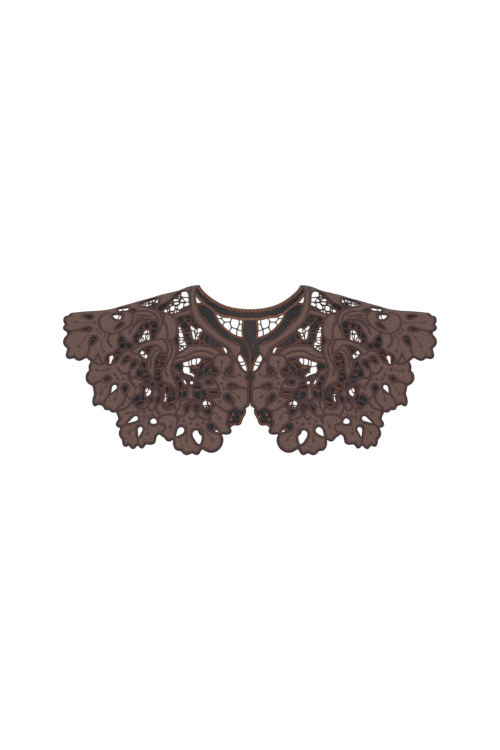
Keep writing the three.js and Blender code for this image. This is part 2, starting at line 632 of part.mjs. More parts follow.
// The fewest points of a line that keep it within the tolerance.
function thinned(points, tolerance = outlineTolerance) {
  const first = points[0];
  const last = points[points.length - 1];
  const span = last.clone().sub(first);
  const length = span.length();
  let worst = 0;
  let index = 0;
  for (let i = 1; i < points.length - 1; i++) {
    const offset = points[i].clone().sub(first);
    const away = length > 0 ? Math.abs(span.cross(offset)) / length : offset.length();
    if (away > worst) {
      worst = away;
      index = i;
    }
  }
  if (worst <= tolerance) return [first, last];
  const head = thinned(points.slice(0, index + 1), tolerance);
  return [...head, ...thinned(points.slice(index), tolerance).slice(1)];
}

function thinnedRing(points) {
  return thinned([...points, points[0]]).slice(0, -1);
}

function eyeletRing([across, drop, radius, pointAcross, pointDrop]) {
  const centre = new THREE.Vector2(across, drop);
  const point = new THREE.Vector2(pointAcross, pointDrop);
  const reach = point.clone().sub(centre);
  const tangentTurn = Math.acos(radius / reach.length());
  const sweep = 2 * Math.PI - 2 * tangentTurn;
  const ring = [point];
  for (let i = 0; i < eyeletSides; i++) {
    const angle = reach.angle() + tangentTurn + (sweep * i) / (eyeletSides - 1);
    ring.push(centre.clone().add(new THREE.Vector2(Math.cos(angle), Math.sin(angle)).multiplyScalar(radius)));
  }
  return ring;
}

// A table's smooth line as a function of its first column.
function tableFunction(rows) {
  const line = smoothLine(rows);
  return (value) => {
    let i = 1;
    while (i < line.length - 1 && line[i].x < value) i++;
    const t = (value - line[i - 1].x) / (line[i].x - line[i - 1].x);
    return line[i - 1].y + t * (line[i].y - line[i - 1].y);
  };
}

const ridgeDrop = tableFunction(ridgeLine);
const depthShare = tableFunction(depthLine);

// The section as a list of [distance along the cloth from the ridge, forward, down], negative at the back.
const sectionSteps = (() => {
  const line = smoothLine(shoulderSection);
  const steps = [];
  let along = 0;
  for (let i = 0; i < line.length; i++) {
    if (i > 0) along += line[i].distanceTo(line[i - 1]);
    steps.push({ along, forward: line[i].x, down: line[i].y });
  }
  const ridge = steps.find((step) => Math.abs(step.forward) < tiny).along;
  for (const step of steps) step.along -= ridge;
  return steps;
})();

function sectionAt(along) {
  let i = 1;
  while (i < sectionSteps.length - 1 && sectionSteps[i].along < along) i++;
  const from = sectionSteps[i - 1];
  const to = sectionSteps[i];
  const t = (along - from.along) / (to.along - from.along);
  return {
    forward: from.forward + t * (to.forward - from.forward),
    down: from.down + t * (to.down - from.down),
  };
}

// Distance along the cloth to a depth below the ridge, on one side of it.
function alongAt(down, side) {
  let low = 0;
  let high = clothReach;
  for (let i = 0; i < searchRounds; i++) {
    const middle = (low + high) / 2;
    if (sectionAt(side * middle).down < down) low = middle;
    else high = middle;
  }
  return side * low;
}

// A point as seen from ahead, laid out flat: across, and the distance behind the ridge.
function flattened(point, side) {
  const down = Math.max(0, point.y - ridgeDrop(Math.abs(point.x)));
  return new THREE.Vector2(point.x, -alongAt(down, side));
}

function flattenedAll(points, side) {
  return points.map((point) => flattened(point, side));
}

function clothPoint(across, behind) {
  const { forward, down } = sectionAt(-behind);
  const reach = Math.abs(across);
  return new THREE.Vector3(across, -forward * depthShare(reach), -ridgeDrop(reach) - down);
}

// A flat point with its height above the middle of the cloth, on the worn collar.
function wornPoint(across, behind, height) {
  const sideways = clothPoint(across + slopeStep, behind).sub(clothPoint(across - slopeStep, behind));
  const backwards = clothPoint(across, behind + slopeStep).sub(clothPoint(across, behind - slopeStep));
  const outward = sideways.cross(backwards).normalize();
  return clothPoint(across, behind).addScaledVector(outward, height);
}

function solidFrom(positions, indices, faceID) {
  const mesh = new wasm.Mesh({ numProp: 3, vertProperties: positions, triVerts: indices, faceID });
  return new wasm.Manifold(mesh);
}

function prism(ring) {
  const shape = new THREE.Shape(ring);
  const geometry = new THREE.ExtrudeGeometry(shape, { depth: cutterDepth, bevelEnabled: false });
  geometry.translate(0, 0, -cutterDepth / 2);
  geometry.deleteAttribute("normal");
  geometry.deleteAttribute("uv");
  const merged = mergeVertices(geometry, tiny);
  return solidFrom(merged.attributes.position.array, new Uint32Array(merged.index.array));
}

// A narrow ribbon along an open line, as wide as the seam gap.
function ribbon(line) {
  const left = [];
  const right = [];
  line.forEach((point, i) => {
    const into = point.clone().sub(line[Math.max(0, i - 1)]).normalize();
    const out = line[Math.min(line.length - 1, i + 1)].clone().sub(point).normalize();
    const tangent = into.clone().add(out).normalize();
    const bend = Math.max(leastBend, Math.abs(tangent.dot(i > 0 ? into : out)));
    const offset = new THREE.Vector2(-tangent.y, tangent.x).multiplyScalar(seamGap / 2 / bend);
    left.push(point.clone().add(offset));
    right.unshift(point.clone().sub(offset));
  });
  return prism([...left, ...right]);
}

// A flat plate in cells, so that it can bend along every line of the grid.
function cellPlate(acrossLines, behindLines) {
  const columns = acrossLines.length;
  const rows = behindLines.length;
  const positions = [];
  for (const height of [-clothThickness / 2, clothThickness / 2])
    for (const behind of behindLines)
      for (const across of acrossLines) positions.push(across, behind, height);
  const index = (layer, row, column) => (layer * rows + row) * columns + column;
  const triangles = [];
  const faces = [];
  let face = 0;
  const quad = (a, b, c, d) => {
    triangles.push(a, b, c, a, c, d);
    faces.push(face, face);
    face += 1;
  };
  for (let row = 0; row < rows - 1; row++)
    for (let column = 0; column < columns - 1; column++)
      for (const layer of [0, 1]) {
        const corners = [
          index(layer, row, column),
          index(layer, row, column + 1),
          index(layer, row + 1, column + 1),
          index(layer, row + 1, column),
        ];
        quad(...(layer === 1 ? corners : corners.reverse()));
      }
  for (let column = 0; column < columns - 1; column++) {
    quad(index(0, 0, column), index(0, 0, column + 1), index(1, 0, column + 1), index(1, 0, column));
    const end = rows - 1;
    quad(index(0, end, column + 1), index(0, end, column), index(1, end, column), index(1, end, column + 1));
  }
  for (let row = 0; row < rows - 1; row++) {
    quad(index(0, row + 1, 0), index(0, row, 0), index(1, row, 0), index(1, row + 1, 0));
    const end = columns - 1;
    quad(index(0, row, end), index(0, row + 1, end), index(1, row + 1, end), index(1, row, end));
  }
  return solidFrom(new Float32Array(positions), new Uint32Array(triangles), new Uint32Array(faces));
}

// One half of the collar laid out flat, with its gaps, eyelets and seams cut.
function halfSheet() {
  const outline = [
    ...thinned(flattenedAll(smoothLine(hemFront), front)).slice(0, -1),
    ...thinned(flattenedAll(smoothLine(neckFront), front)).slice(0, -1),
    ...thinned(flattenedAll(smoothLine(neckBack), back)),
    ...thinned(flattenedAll(smoothLine(hemBack), back)).reverse(),
  ];
  const neckEnd = flattened(new THREE.Vector2(...neckBack[neckBack.length - 1]), back);
  const hemEnd = flattened(new THREE.Vector2(...hemBack[hemBack.length - 1]), back);
  const neckIndex = outline.findIndex((point) => point.distanceTo(neckEnd) < tiny);
  const beyond = [neckEnd, hemEnd].map((point) => new THREE.Vector2(-2 * centreOverlap, point.y));
  outline.splice(neckIndex + 1, 0, ...beyond);
  let sheet = cellPlate(bendsAcross, bendsBehind).intersect(prism(outline));
  const rings = [
    ...Object.values(gapsFront).map((rows) => thinnedRing(flattenedAll(smoothLine(rows, true), front))),
    ...Object.values(gapsBack).map((rows) => thinnedRing(flattenedAll(smoothLine(rows, true), back))),
    ...eyeletsFront.map((row) => flattenedAll(eyeletRing(row), front)),
    ...eyeletsBack.map((row) => flattenedAll(eyeletRing(row), back)),
  ];
  for (const ring of rings) sheet = sheet.subtract(prism(ring));
  const lines = [
    ...seamsFront.map((rows) => thinned(flattenedAll(smoothLine(rows), front), seamTolerance)),
    ...seamsBack.map((rows) => thinned(flattenedAll(smoothLine(rows), back), seamTolerance)),
    ridgeSeam.map(([across, behind]) => new THREE.Vector2(across, behind)),
  ];
  for (const line of lines) sheet = sheet.subtract(ribbon(line));
  return sheet.decompose();
}

function isOnTop(mesh, point) {
  const corner = (k) => new THREE.Vector2(mesh.vertProperties[3 * k], mesh.vertProperties[3 * k + 1]);
  for (let i = 0; i < mesh.triVerts.length; i += 3) {
    const [a, b, c] = [corner(mesh.triVerts[i]), corner(mesh.triVerts[i + 1]), corner(mesh.triVerts[i + 2])];
    const turns = [[a, b], [b, c], [c, a]].map(([p, q]) => q.clone().sub(p).cross(point.clone().sub(p)));
    if (turns.every((turn) => turn > -tiny)) return true;
  }
  return false;
}

function pieceAt(bodies, [name, across, drop, side]) {
  const point = flattened(new THREE.Vector2(across, drop), side);
  const body = bodies.find((candidate) => isOnTop(candidate.getMesh(), point));
  if (!body) throw new Error(name + " has no cloth at its point");
  return body;
}

function mirrored(body) {
  const mesh = body.getMesh();
  const positions = mesh.vertProperties.map((value, i) => (i % 3 === 0 ? -value : value));
  const triangles = new Uint32Array(mesh.triVerts.length);
  for (let i = 0; i < triangles.length; i += 3) {
    triangles[i] = mesh.triVerts[i];
    triangles[i + 1] = mesh.triVerts[i + 2];
    triangles[i + 2] = mesh.triVerts[i + 1];
  }
  return solidFrom(positions, triangles, mesh.faceID);
}

const materials = {
  cloth: new THREE.MeshStandardMaterial({ color: 0x6e5850, roughness: 0.9, metalness: 0 }),
  bandCloth: new THREE.MeshStandardMaterial({ color: 0x66514a, roughness: 0.9, metalness: 0 }),
  steel: new THREE.MeshStandardMaterial({ color: 0x3a3836, roughness: 0.4, metalness: 0.8 }),
};

function wornMesh(name, body, material) {
  const mesh = body.getMesh();
  const positions = new Float32Array(mesh.vertProperties.length);
  for (let i = 0; i < positions.length; i += 3) {
    const [across, behind, height] = mesh.vertProperties.slice(i, i + 3);
    wornPoint(across, behind, height).toArray(positions, i);
  }
  const geometry = new THREE.BufferGeometry();
  geometry.setAttribute("position", new THREE.BufferAttribute(positions, 3));
  geometry.setIndex(new THREE.BufferAttribute(new Uint32Array(mesh.triVerts), 1));
  const worn = new THREE.Mesh(geometry.toNonIndexed(), material);
  worn.geometry.computeVertexNormals();
  worn.name = name;
  return worn;
}

// A plain hook plate behind the two centre lobes.
function claspMesh() {
  const { across, tall, thick, drop, corner, cornerSteps, clearance } = clasp;
  const shape = new THREE.Shape();
  shape.moveTo(-across + corner, -tall / 2);
  shape.lineTo(across - corner, -tall / 2);
  shape.quadraticCurveTo(across, -tall / 2, across, -tall / 2 + corner);
  shape.lineTo(across, tall / 2 - corner);
  shape.quadraticCurveTo(across, tall / 2, across - corner, tall / 2);
  shape.lineTo(-across + corner, tall / 2);
  shape.quadraticCurveTo(-across, tall / 2, -across, tall / 2 - corner);
  shape.lineTo(-across, -tall / 2 + corner);
  shape.quadraticCurveTo(-across, -tall / 2, -across + corner, -tall / 2);
  const options = { depth: thick, bevelEnabled: false, curveSegments: cornerSteps };
  const geometry = new THREE.ExtrudeGeometry(shape, options);
  const plate = new THREE.Mesh(geometry, materials.steel);
  const behind = flattened(new THREE.Vector2(0, drop), front).y;
  const outward = wornPoint(0, behind, 1).sub(wornPoint(0, behind, 0));
  const sideways = new THREE.Vector3(1, 0, 0);
  const upward = outward.clone().cross(sideways);
  plate.setRotationFromMatrix(new THREE.Matrix4().makeBasis(sideways, upward, outward));
  plate.position.copy(wornPoint(0, behind, -clothThickness / 2 - clearance - thick));
  plate.name = "front_clasp";
  return plate;
}

const collar = new THREE.Group();
const bodies = halfSheet();
for (const row of pairedPieces) {
  const body = pieceAt(bodies, row);
  const material = materials.cloth;
  collar.add(wornMesh(row[0] + "_right", body, material));
  collar.add(wornMesh(row[0] + "_left", mirrored(body), material));
}
for (const row of singlePieces) {
  const body = pieceAt(bodies, row);
  const material = row[0] === "neck_band" ? materials.bandCloth : materials.cloth;
  collar.add(wornMesh(row[0], body.add(mirrored(body)), material));
}
collar.add(claspMesh());

export default collar;
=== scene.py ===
# A detachable cutwork lace collar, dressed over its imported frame.
# Outlines are one half as seen from straight ahead, in millimetres: [across, drop below the neck
# corner], with a third value of 1 where the line turns sharply. The other half is the mirror image.
import math
from bisect import bisect_right

import bpy
import numpy as np
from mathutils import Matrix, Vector, geometry, noise


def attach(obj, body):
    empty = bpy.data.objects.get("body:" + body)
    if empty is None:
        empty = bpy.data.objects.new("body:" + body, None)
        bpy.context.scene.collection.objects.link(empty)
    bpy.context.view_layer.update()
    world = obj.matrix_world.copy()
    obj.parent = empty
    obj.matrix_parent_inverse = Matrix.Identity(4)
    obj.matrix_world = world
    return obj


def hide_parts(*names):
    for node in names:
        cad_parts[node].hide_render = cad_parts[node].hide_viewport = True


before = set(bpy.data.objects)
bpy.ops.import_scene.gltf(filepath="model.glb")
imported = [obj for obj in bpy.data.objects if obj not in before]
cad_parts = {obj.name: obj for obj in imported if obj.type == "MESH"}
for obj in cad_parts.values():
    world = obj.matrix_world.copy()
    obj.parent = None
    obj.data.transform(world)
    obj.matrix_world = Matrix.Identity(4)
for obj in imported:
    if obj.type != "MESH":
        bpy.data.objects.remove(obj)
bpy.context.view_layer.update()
mm = 0.001
front = 1
back = -1
pointStep = {  # mm between points
    "drawn": 0.8,  # of a line as it is drawn
    "table": 1.5,  # of a curve that is looked up
    "cord": 1.2,   # of a cord on the flat cloth
    "hole": 1.5,   # of the edge of a gap in the cloth
    "short": 1.0,  # of a short line
    "meet": 0.5,   # of a thread that another one may meet
    "net": 0.8,    # of a bare thread
}
middleReach = 1e-6  # mm, a point this near to the middle is on it
loopShare = 0.8     # a moved point nearer to its line than this share of the move is in a loop


# A smooth line through the rows, with a sharp turn only where a row asks for one
def smoothLine(rows, closed, step):
    count = len(rows)

    def at(i):
        return rows[i % count][:2]

    def isCorner(i):
        return len(rows[i % count]) > 2

    def hasRow(i):
        return closed or 0 <= i < count

    def slope(a, b, c):
        before = math.dist(a, b)
        after = math.dist(b, c)
        ends = zip(a, b, c)
        return [((q - p) * after / before + (r - q) * before / after) / (before + after)
                for p, q, r in ends]

    points = []
    for i in range(count if closed else count - 1):
        start, end = at(i), at(i + 1)
        length = math.dist(start, end)
        chord = [(q - p) / length for p, q in zip(start, end)]
        leave = slope(at(i - 1), start, end) if hasRow(i - 1) and not isCorner(i) else None
        arrive = slope(start, end, at(i + 2)) if hasRow(i + 2) and not isCorner(i + 1) else None
        # An end that stands free turns as little as it can
        if leave is None:
            leave = [1.5 * c - 0.5 * a for c, a in zip(chord, arrive)] if arrive else chord
        if arrive is None:
            arrive = [1.5 * c - 0.5 * a for c, a in zip(chord, leave)]
        steps = max(2, int(length / step))
        for j in range(steps):
            t = j / steps
            a, b = 2 * t**3 - 3 * t**2 + 1, (t**3 - 2 * t**2 + t) * length
            c, d = 3 * t**2 - 2 * t**3, (t**3 - t**2) * length
            ends = zip(start, leave, end, arrive)
            points.append([a * p + b * u + c * q + d * v for p, u, q, v in ends])
    if not closed:
        points.append(list(rows[-1][:2]))
    return points


# Shape of the worn cloth
wornShape = {
    # section of the shoulders from the back hem over the ridge to the front hem: [forward, down]
    "section": [
        [-98, 205], [-92, 150], [-83, 100], [-72, 60], [-55, 30], [-42, 20], [-31, 12.7],
        [-18, 5.8], [-9, 1.5], [0, 0], [6.5, 1], [13, 4], [29, 14], [45, 27], [58, 40], [70, 52],
        [89, 75], [103, 110], [114, 150], [128, 218]],
    # how far the shoulder ridge drops on its way out: [across, drop]
    "ridge": [
        [0, 0], [40, 0], [62.8, 0.3], [75, 2.5], [90, 8.2], [100, 10.4], [112.5, 13.5],
        [125.8, 17.9], [138.8, 21.3], [149, 24.1], [162, 27.5], [172.9, 30.6], [185.6, 32.8],
        [205.6, 34.3], [225.5, 36], [240, 37]],
    # depth of the section on its way out to the arm: [across, share of the full depth]
    "depth": [[0, 1], [65, 1], [110, 0.9], [150, 0.75], [190, 0.63], [220, 0.55], [240, 0.52]],
    "ripple": 0.7,       # mm, how far the cloth waves off its even shape
    "rippleLength": 38,  # mm
}


# Each point's distance along its line
def distancesAlong(line):
    reach = [0.0]
    for a, b in zip(line, line[1:]):
        reach.append(reach[-1] + math.dist(a, b))
    return reach


# Distances from a point to each of many
def distancesTo(places, point):
    return np.hypot(places[:, 0] - point[0], places[:, 1] - point[1])


# A function that looks up the second value of a smooth table by its first
def tableFunction(rows):
    line = smoothLine(rows, False, pointStep["table"])
    firsts = [p[0] for p in line]

    def value(x):
        i = min(max(bisect_right(firsts, x), 1), len(line) - 1)
        a, b = line[i - 1], line[i]
        return a[1] + (x - a[0]) / (b[0] - a[0]) * (b[1] - a[1])

    return value


ridgeDrop = tableFunction(wornShape["ridge"])
depthShare = tableFunction(wornShape["depth"])


# The section by its length from the ridge, and for each side its length by how far it falls
def sectionTables():
    line = smoothLine(wornShape["section"], False, pointStep["table"])
    along = distancesAlong(line)
    ridge = along[min(range(len(line)), key=lambda i: abs(line[i][0]))]
    along = [a - ridge for a in along]
    falls = {}
    for side in (front, back):
        rows = sorted((side * a, p[1]) for a, p in zip(along, line) if side * a >= 0)
        rising = [rows[0]]
        for row in rows[1:]:
            if row[1] > rising[-1][1]:
                rising.append(row)
        falls[side] = rising
    return along, line, falls


sectionAlong, sectionLine, sectionFalls = sectionTables()


# Length along the section where it has fallen so far
def alongAt(down, side):
    rows = sectionFalls[side]
    i = min(max(bisect_right([r[1] for r in rows], down), 1), len(rows) - 1)
    (a, low), (b, high) = rows[i - 1], rows[i]
    return side * (a + (down - low) / (high - low) * (b - a))


# A point seen from ahead, laid flat: across, and the distance behind the ridge
def flattened(point, side):
    down = max(0.0, point[1] - ridgeDrop(abs(point[0])))
    return (point[0], -alongAt(down, side))


# A flat point's place on the even form of the shoulders
def clothPoint(across, behind):
    i = min(max(bisect_right(sectionAlong, -behind), 1), len(sectionLine) - 1)
    t = (-behind - sectionAlong[i - 1]) / (sectionAlong[i] - sectionAlong[i - 1])
    a, b = sectionLine[i - 1], sectionLine[i]
    forward, down = a[0] + t * (b[0] - a[0]), a[1] + t * (b[1] - a[1])
    reach = abs(across)
    return Vector((across, -forward * depthShare(reach), -ridgeDrop(reach) - down))


# The cloth's place and its three directions at a flat point
def clothFrame(across, behind):
    here = clothPoint(across, behind)
    sideways = clothPoint(across + 0.5, behind) - clothPoint(across - 0.5, behind)
    backwards = clothPoint(across, behind + 0.5) - clothPoint(across, behind - 0.5)
    outward = sideways.cross(backwards).normalized()
    spot = Vector((abs(across), behind, 0)) / wornShape["rippleLength"]
    here += outward * wornShape["ripple"] * noise.noise(spot)
    return here, sideways, backwards, outward


# Points of a flat line at even distances
def evenly(points, spacing, closed=False):
    line = list(points) + ([points[0]] if closed else [])
    reach = distancesAlong(line)
    count = max(3 if closed else 1, round(reach[-1] / spacing))
    result = []
    k = 0
    for j in range(count if closed else count + 1):
        target = reach[-1] * j / count
        while k < len(line) - 2 and reach[k + 1] < target:
            k += 1
        span = reach[k + 1] - reach[k]
        t = (target - reach[k]) / span if span > 0 else 0
        result.append(tuple(p + t * (q - p) for p, q in zip(line[k], line[k + 1])))
    return result


# A line with its corners worn down
def softened(line, closed, rounds):
    for _ in range(rounds):
        count = len(line)
        ends = {} if closed else {0: line[0], count - 1: line[-1]}
        line = [ends.get(i) or tuple(
            (line[i - 1][k] + 2 * line[i][k] + line[(i + 1) % count][k]) / 4 for k in (0, 1))
            for i in range(count)]
    return line


# A drawn line on the flat cloth
def flatLine(rows, side, closed=False, spacing=pointStep["cord"]):
    points = [flattened(p, side) for p in smoothLine(rows, closed, pointStep["drawn"])]
    return softened(evenly(points, spacing, closed), closed, 2)


# The direction to one side at each point of a flat line
def sideDirections(line, closed):
    count = len(line)
    result = []
    for i in range(count):
        a = line[i - 1] if closed or i > 0 else line[i]
        b = line[(i + 1) % count] if closed or i < count - 1 else line[i]
        dx, dy = b[0] - a[0], b[1] - a[1]
        length = math.hypot(dx, dy) or 1.0
        result.append((-dy / length, dx / length))
    return result


# Twice the area of a ring, negative where it runs clockwise
def turning(line):
    return sum(a[0] * b[1] - b[0] * a[1] for a, b in zip(line, line[1:] + line[:1]))


def withoutLoops(moved, line, distance):
    places = np.array(line)
    return [p for p in moved if distancesTo(places, p).min() > loopShare * distance]


# A ring moved outward by a distance, or inward by a negative one
def grown(ring, distance):
    sign = -1 if turning(ring) > 0 else 1
    moved = [(p[0] + sign * distance * n[0], p[1] + sign * distance * n[1])
             for p, n in zip(ring, sideDirections(ring, True))]
    return withoutLoops(moved, ring, abs(distance))


# An eyelet's edge on the flat cloth: a round end and its point
def eyeletRing(row, side, spacing):
    across, drop, radius, pointAcross, pointDrop = row
    reach = math.dist((across, drop), (pointAcross, pointDrop))
    toPoint = math.atan2(pointDrop - drop, pointAcross - across)
    tangentTurn = math.acos(radius / reach)
    sides = 14
    ring = [[pointAcross, pointDrop]]
    for i in range(sides + 1):
        angle = toPoint + tangentTurn + (2 * math.pi - 2 * tangentTurn) * i / sides
        ring.append([across + radius * math.cos(angle), drop + radius * math.sin(angle)])
    return softened(evenly([flattened(p, side) for p in ring], spacing, True), True, 1)


# Hem of the front, from the end of the ridge round the lobes of the sprays to the neck tab
hemFront = [
    [225.3, 36, 1], [228, 38.4], [231.5, 38.8], [233.8, 41.5], [233.8, 45.5], [231.8, 49.3, 1],
    [234.2, 52.3], [233.8, 55.6], [230.5, 57.9], [225.3, 58.9, 1], [229.5, 62.5], [233.2, 67],
    [234.2, 71.5], [232.3, 76.3], [228.6, 79.3, 1], [230, 84], [230.6, 89.3], [228.5, 92],
    [224.5, 92.4], [220.4, 91.1, 1], [217.5, 94], [213, 94.8], [208.5, 93], [204.4, 90.6, 1],
    [202.3, 93.3], [199, 95.4, 1], [201.2, 98.2], [202.2, 102], [201.3, 106.8, 1], [204.5, 110.2],
    [205.8, 115], [204.8, 120.5], [201.3, 124.2], [196.8, 126.4, 1], [196.4, 131], [195, 136, 1],
    [197, 142], [197.4, 147.5], [195.3, 151.7], [192.5, 152], [189.4, 149.3, 1], [187, 150.8],
    [184.1, 151.3, 1], [183.3, 154], [181.5, 156.5], [179.5, 157], [177, 156, 1], [175, 158],
    [172.5, 159.9], [170, 160], [168, 158.8, 1], [167.2, 161], [165.5, 165], [164.6, 168.2, 1],
    [166.8, 171], [168.2, 174.5], [167, 177.3], [164.5, 178.7], [161.9, 178.7, 1], [163.6, 182],
    [164.4, 187], [163, 190.7], [160.4, 193.5, 1], [160.2, 197], [159, 200.8], [156.5, 202.7],
    [153.8, 202.2], [152, 200.4, 1], [150.2, 203], [147.8, 205.4], [145, 205.2], [142.5, 203],
    [140.3, 200.2, 1], [138.6, 203.3], [135.8, 204.8], [133, 204], [131.3, 201.3], [130, 199, 1],
    [127, 199.9], [122.5, 199.8], [118.8, 198], [117.2, 194.5], [116.6, 190], [114.2, 186.7, 1],
    [112.3, 187.6], [110.3, 190, 1], [108.3, 190.4], [106.8, 192], [104.5, 195], [101.5, 196],
    [98.8, 195.4], [96, 193.2, 1], [96.7, 197], [95.8, 202], [93.5, 206], [90.5, 207.6],
    [87.2, 207.3, 1], [85.3, 209.6], [83, 212], [79.5, 213.1], [76, 212], [72.4, 210.1, 1],
    [70, 211.8], [66.8, 213], [63.8, 211.8], [61.5, 208.5], [60, 204.9, 1], [56.5, 207.2],
    [51, 209.6], [46, 209.7], [40.5, 207.4], [36, 203], [33.3, 197], [33.3, 190.5],
    [35.2, 186.2, 1], [31, 187.2], [27, 187], [23.5, 185], [22.6, 181.5], [24.1, 178.8, 1],
    [26, 175], [27.4, 172.3, 1], [25.2, 167.5], [25, 163], [26.3, 159.4, 1], [23.5, 158.7],
    [20.5, 157.2], [18.7, 154.8, 1], [17, 156.5], [14.5, 158.3], [11, 159.2], [7, 157.6],
    [5.2, 153.6, 1], [2.5, 152.7], [1.3, 151], [0.7, 147], [0.35, 140], [0.35, 133], [0.8, 131],
    [1.6, 129.5, 1], [0.8, 127.6], [0.35, 125], [0.6, 119.5], [2.4, 118], [3, 115.5], [2.4, 113],
    [1, 110.2, 1], [3.4, 108.3], [7, 106], [10.3, 102], [12, 98], [15, 94, 1],
]
# Squared end of the band
tabEnd = [
    [15, 94, 1], [14, 89], [10.8, 85.5], [9.6, 80], [10, 75, 1],
]

# Edges of the neck, from the tab up to the neck corner, and on to the centre back
neckFront = [
    [10, 75, 1], [18.8, 72.4], [35, 63.5], [48.5, 51.3], [59.4, 39.9], [64.8, 27.5], [67.5, 14.1],
    [66.8, 3.9], [62.8, 0, 1],
]
neckBack = [
    [62.8, 0, 1], [60, 4.6], [55, 10], [45, 18], [35, 23.6], [25, 27.1], [10, 29.7], [0, 30.2],
]

# Hem of the back, from the end of the ridge to the centre
hemBack = [
    [225.3, 36, 1], [229, 40], [230, 46], [226, 51, 1], [229.5, 56], [228.5, 63], [222, 66.5, 1],
    [224.5, 72], [221, 80], [213, 83], [207, 82, 1], [205, 87], [199.5, 91.5], [193, 90, 1],
    [197, 95], [199, 102], [196, 110], [190, 113.5], [186.5, 112.5, 1], [185, 118], [179.5, 122],
    [173, 121.5], [168, 118.5, 1], [165.5, 124], [165.3, 130], [163.5, 136], [160.5, 140, 1],
    [162.8, 146], [161.5, 152.5], [156, 156.8], [150, 156, 1], [147, 161], [140, 162.8],
    [133.5, 161], [130, 157, 1], [126, 161.8], [119, 163.6], [112.5, 161.5], [109, 156, 1],
    [108.5, 163], [104.5, 169], [97.5, 170.8], [93, 168.5, 1], [91, 173.5], [85, 176],
    [78.5, 175.8], [75, 173, 1], [72.5, 177], [69, 180], [66.3, 182], [65, 185], [63, 188.3],
    [58, 189.6], [52, 185.4, 1], [48, 184.8], [41, 181.2], [36, 179.4], [33, 176, 1], [30, 179.6],
    [26, 180], [24, 179], [22.5, 177, 1], [20.5, 175.8], [17, 176.4], [13, 175.8], [10.7, 173.5],
    [9.5, 170], [8, 166], [5.6, 162.5], [4.7, 158], [5.3, 154], [4, 150.5], [1.5, 148],
    [0, 147.4, 1],
]

# Outer edge of the neck band, from the ridge to the tab, and from the ridge to the centre back
bandFront = [
    [75, 2.5], [77, 16.1], [75, 31.8], [69.5, 45.3], [59.4, 56.1], [45.8, 66.9], [32.3, 76.4],
    [27.3, 80.2], [25, 84.5], [21.5, 90.5], [18.5, 94.5],
]
bandBack = [
    [76, 3], [72, 8], [67, 13.6], [61, 20.6], [57, 24], [52, 27.4], [47, 31.8], [43.8, 35.2],
    [41, 36], [38, 37.8], [34.5, 39.6], [30, 40.1], [24, 40.6], [18, 42], [9, 43.4], [0, 43.2],
]

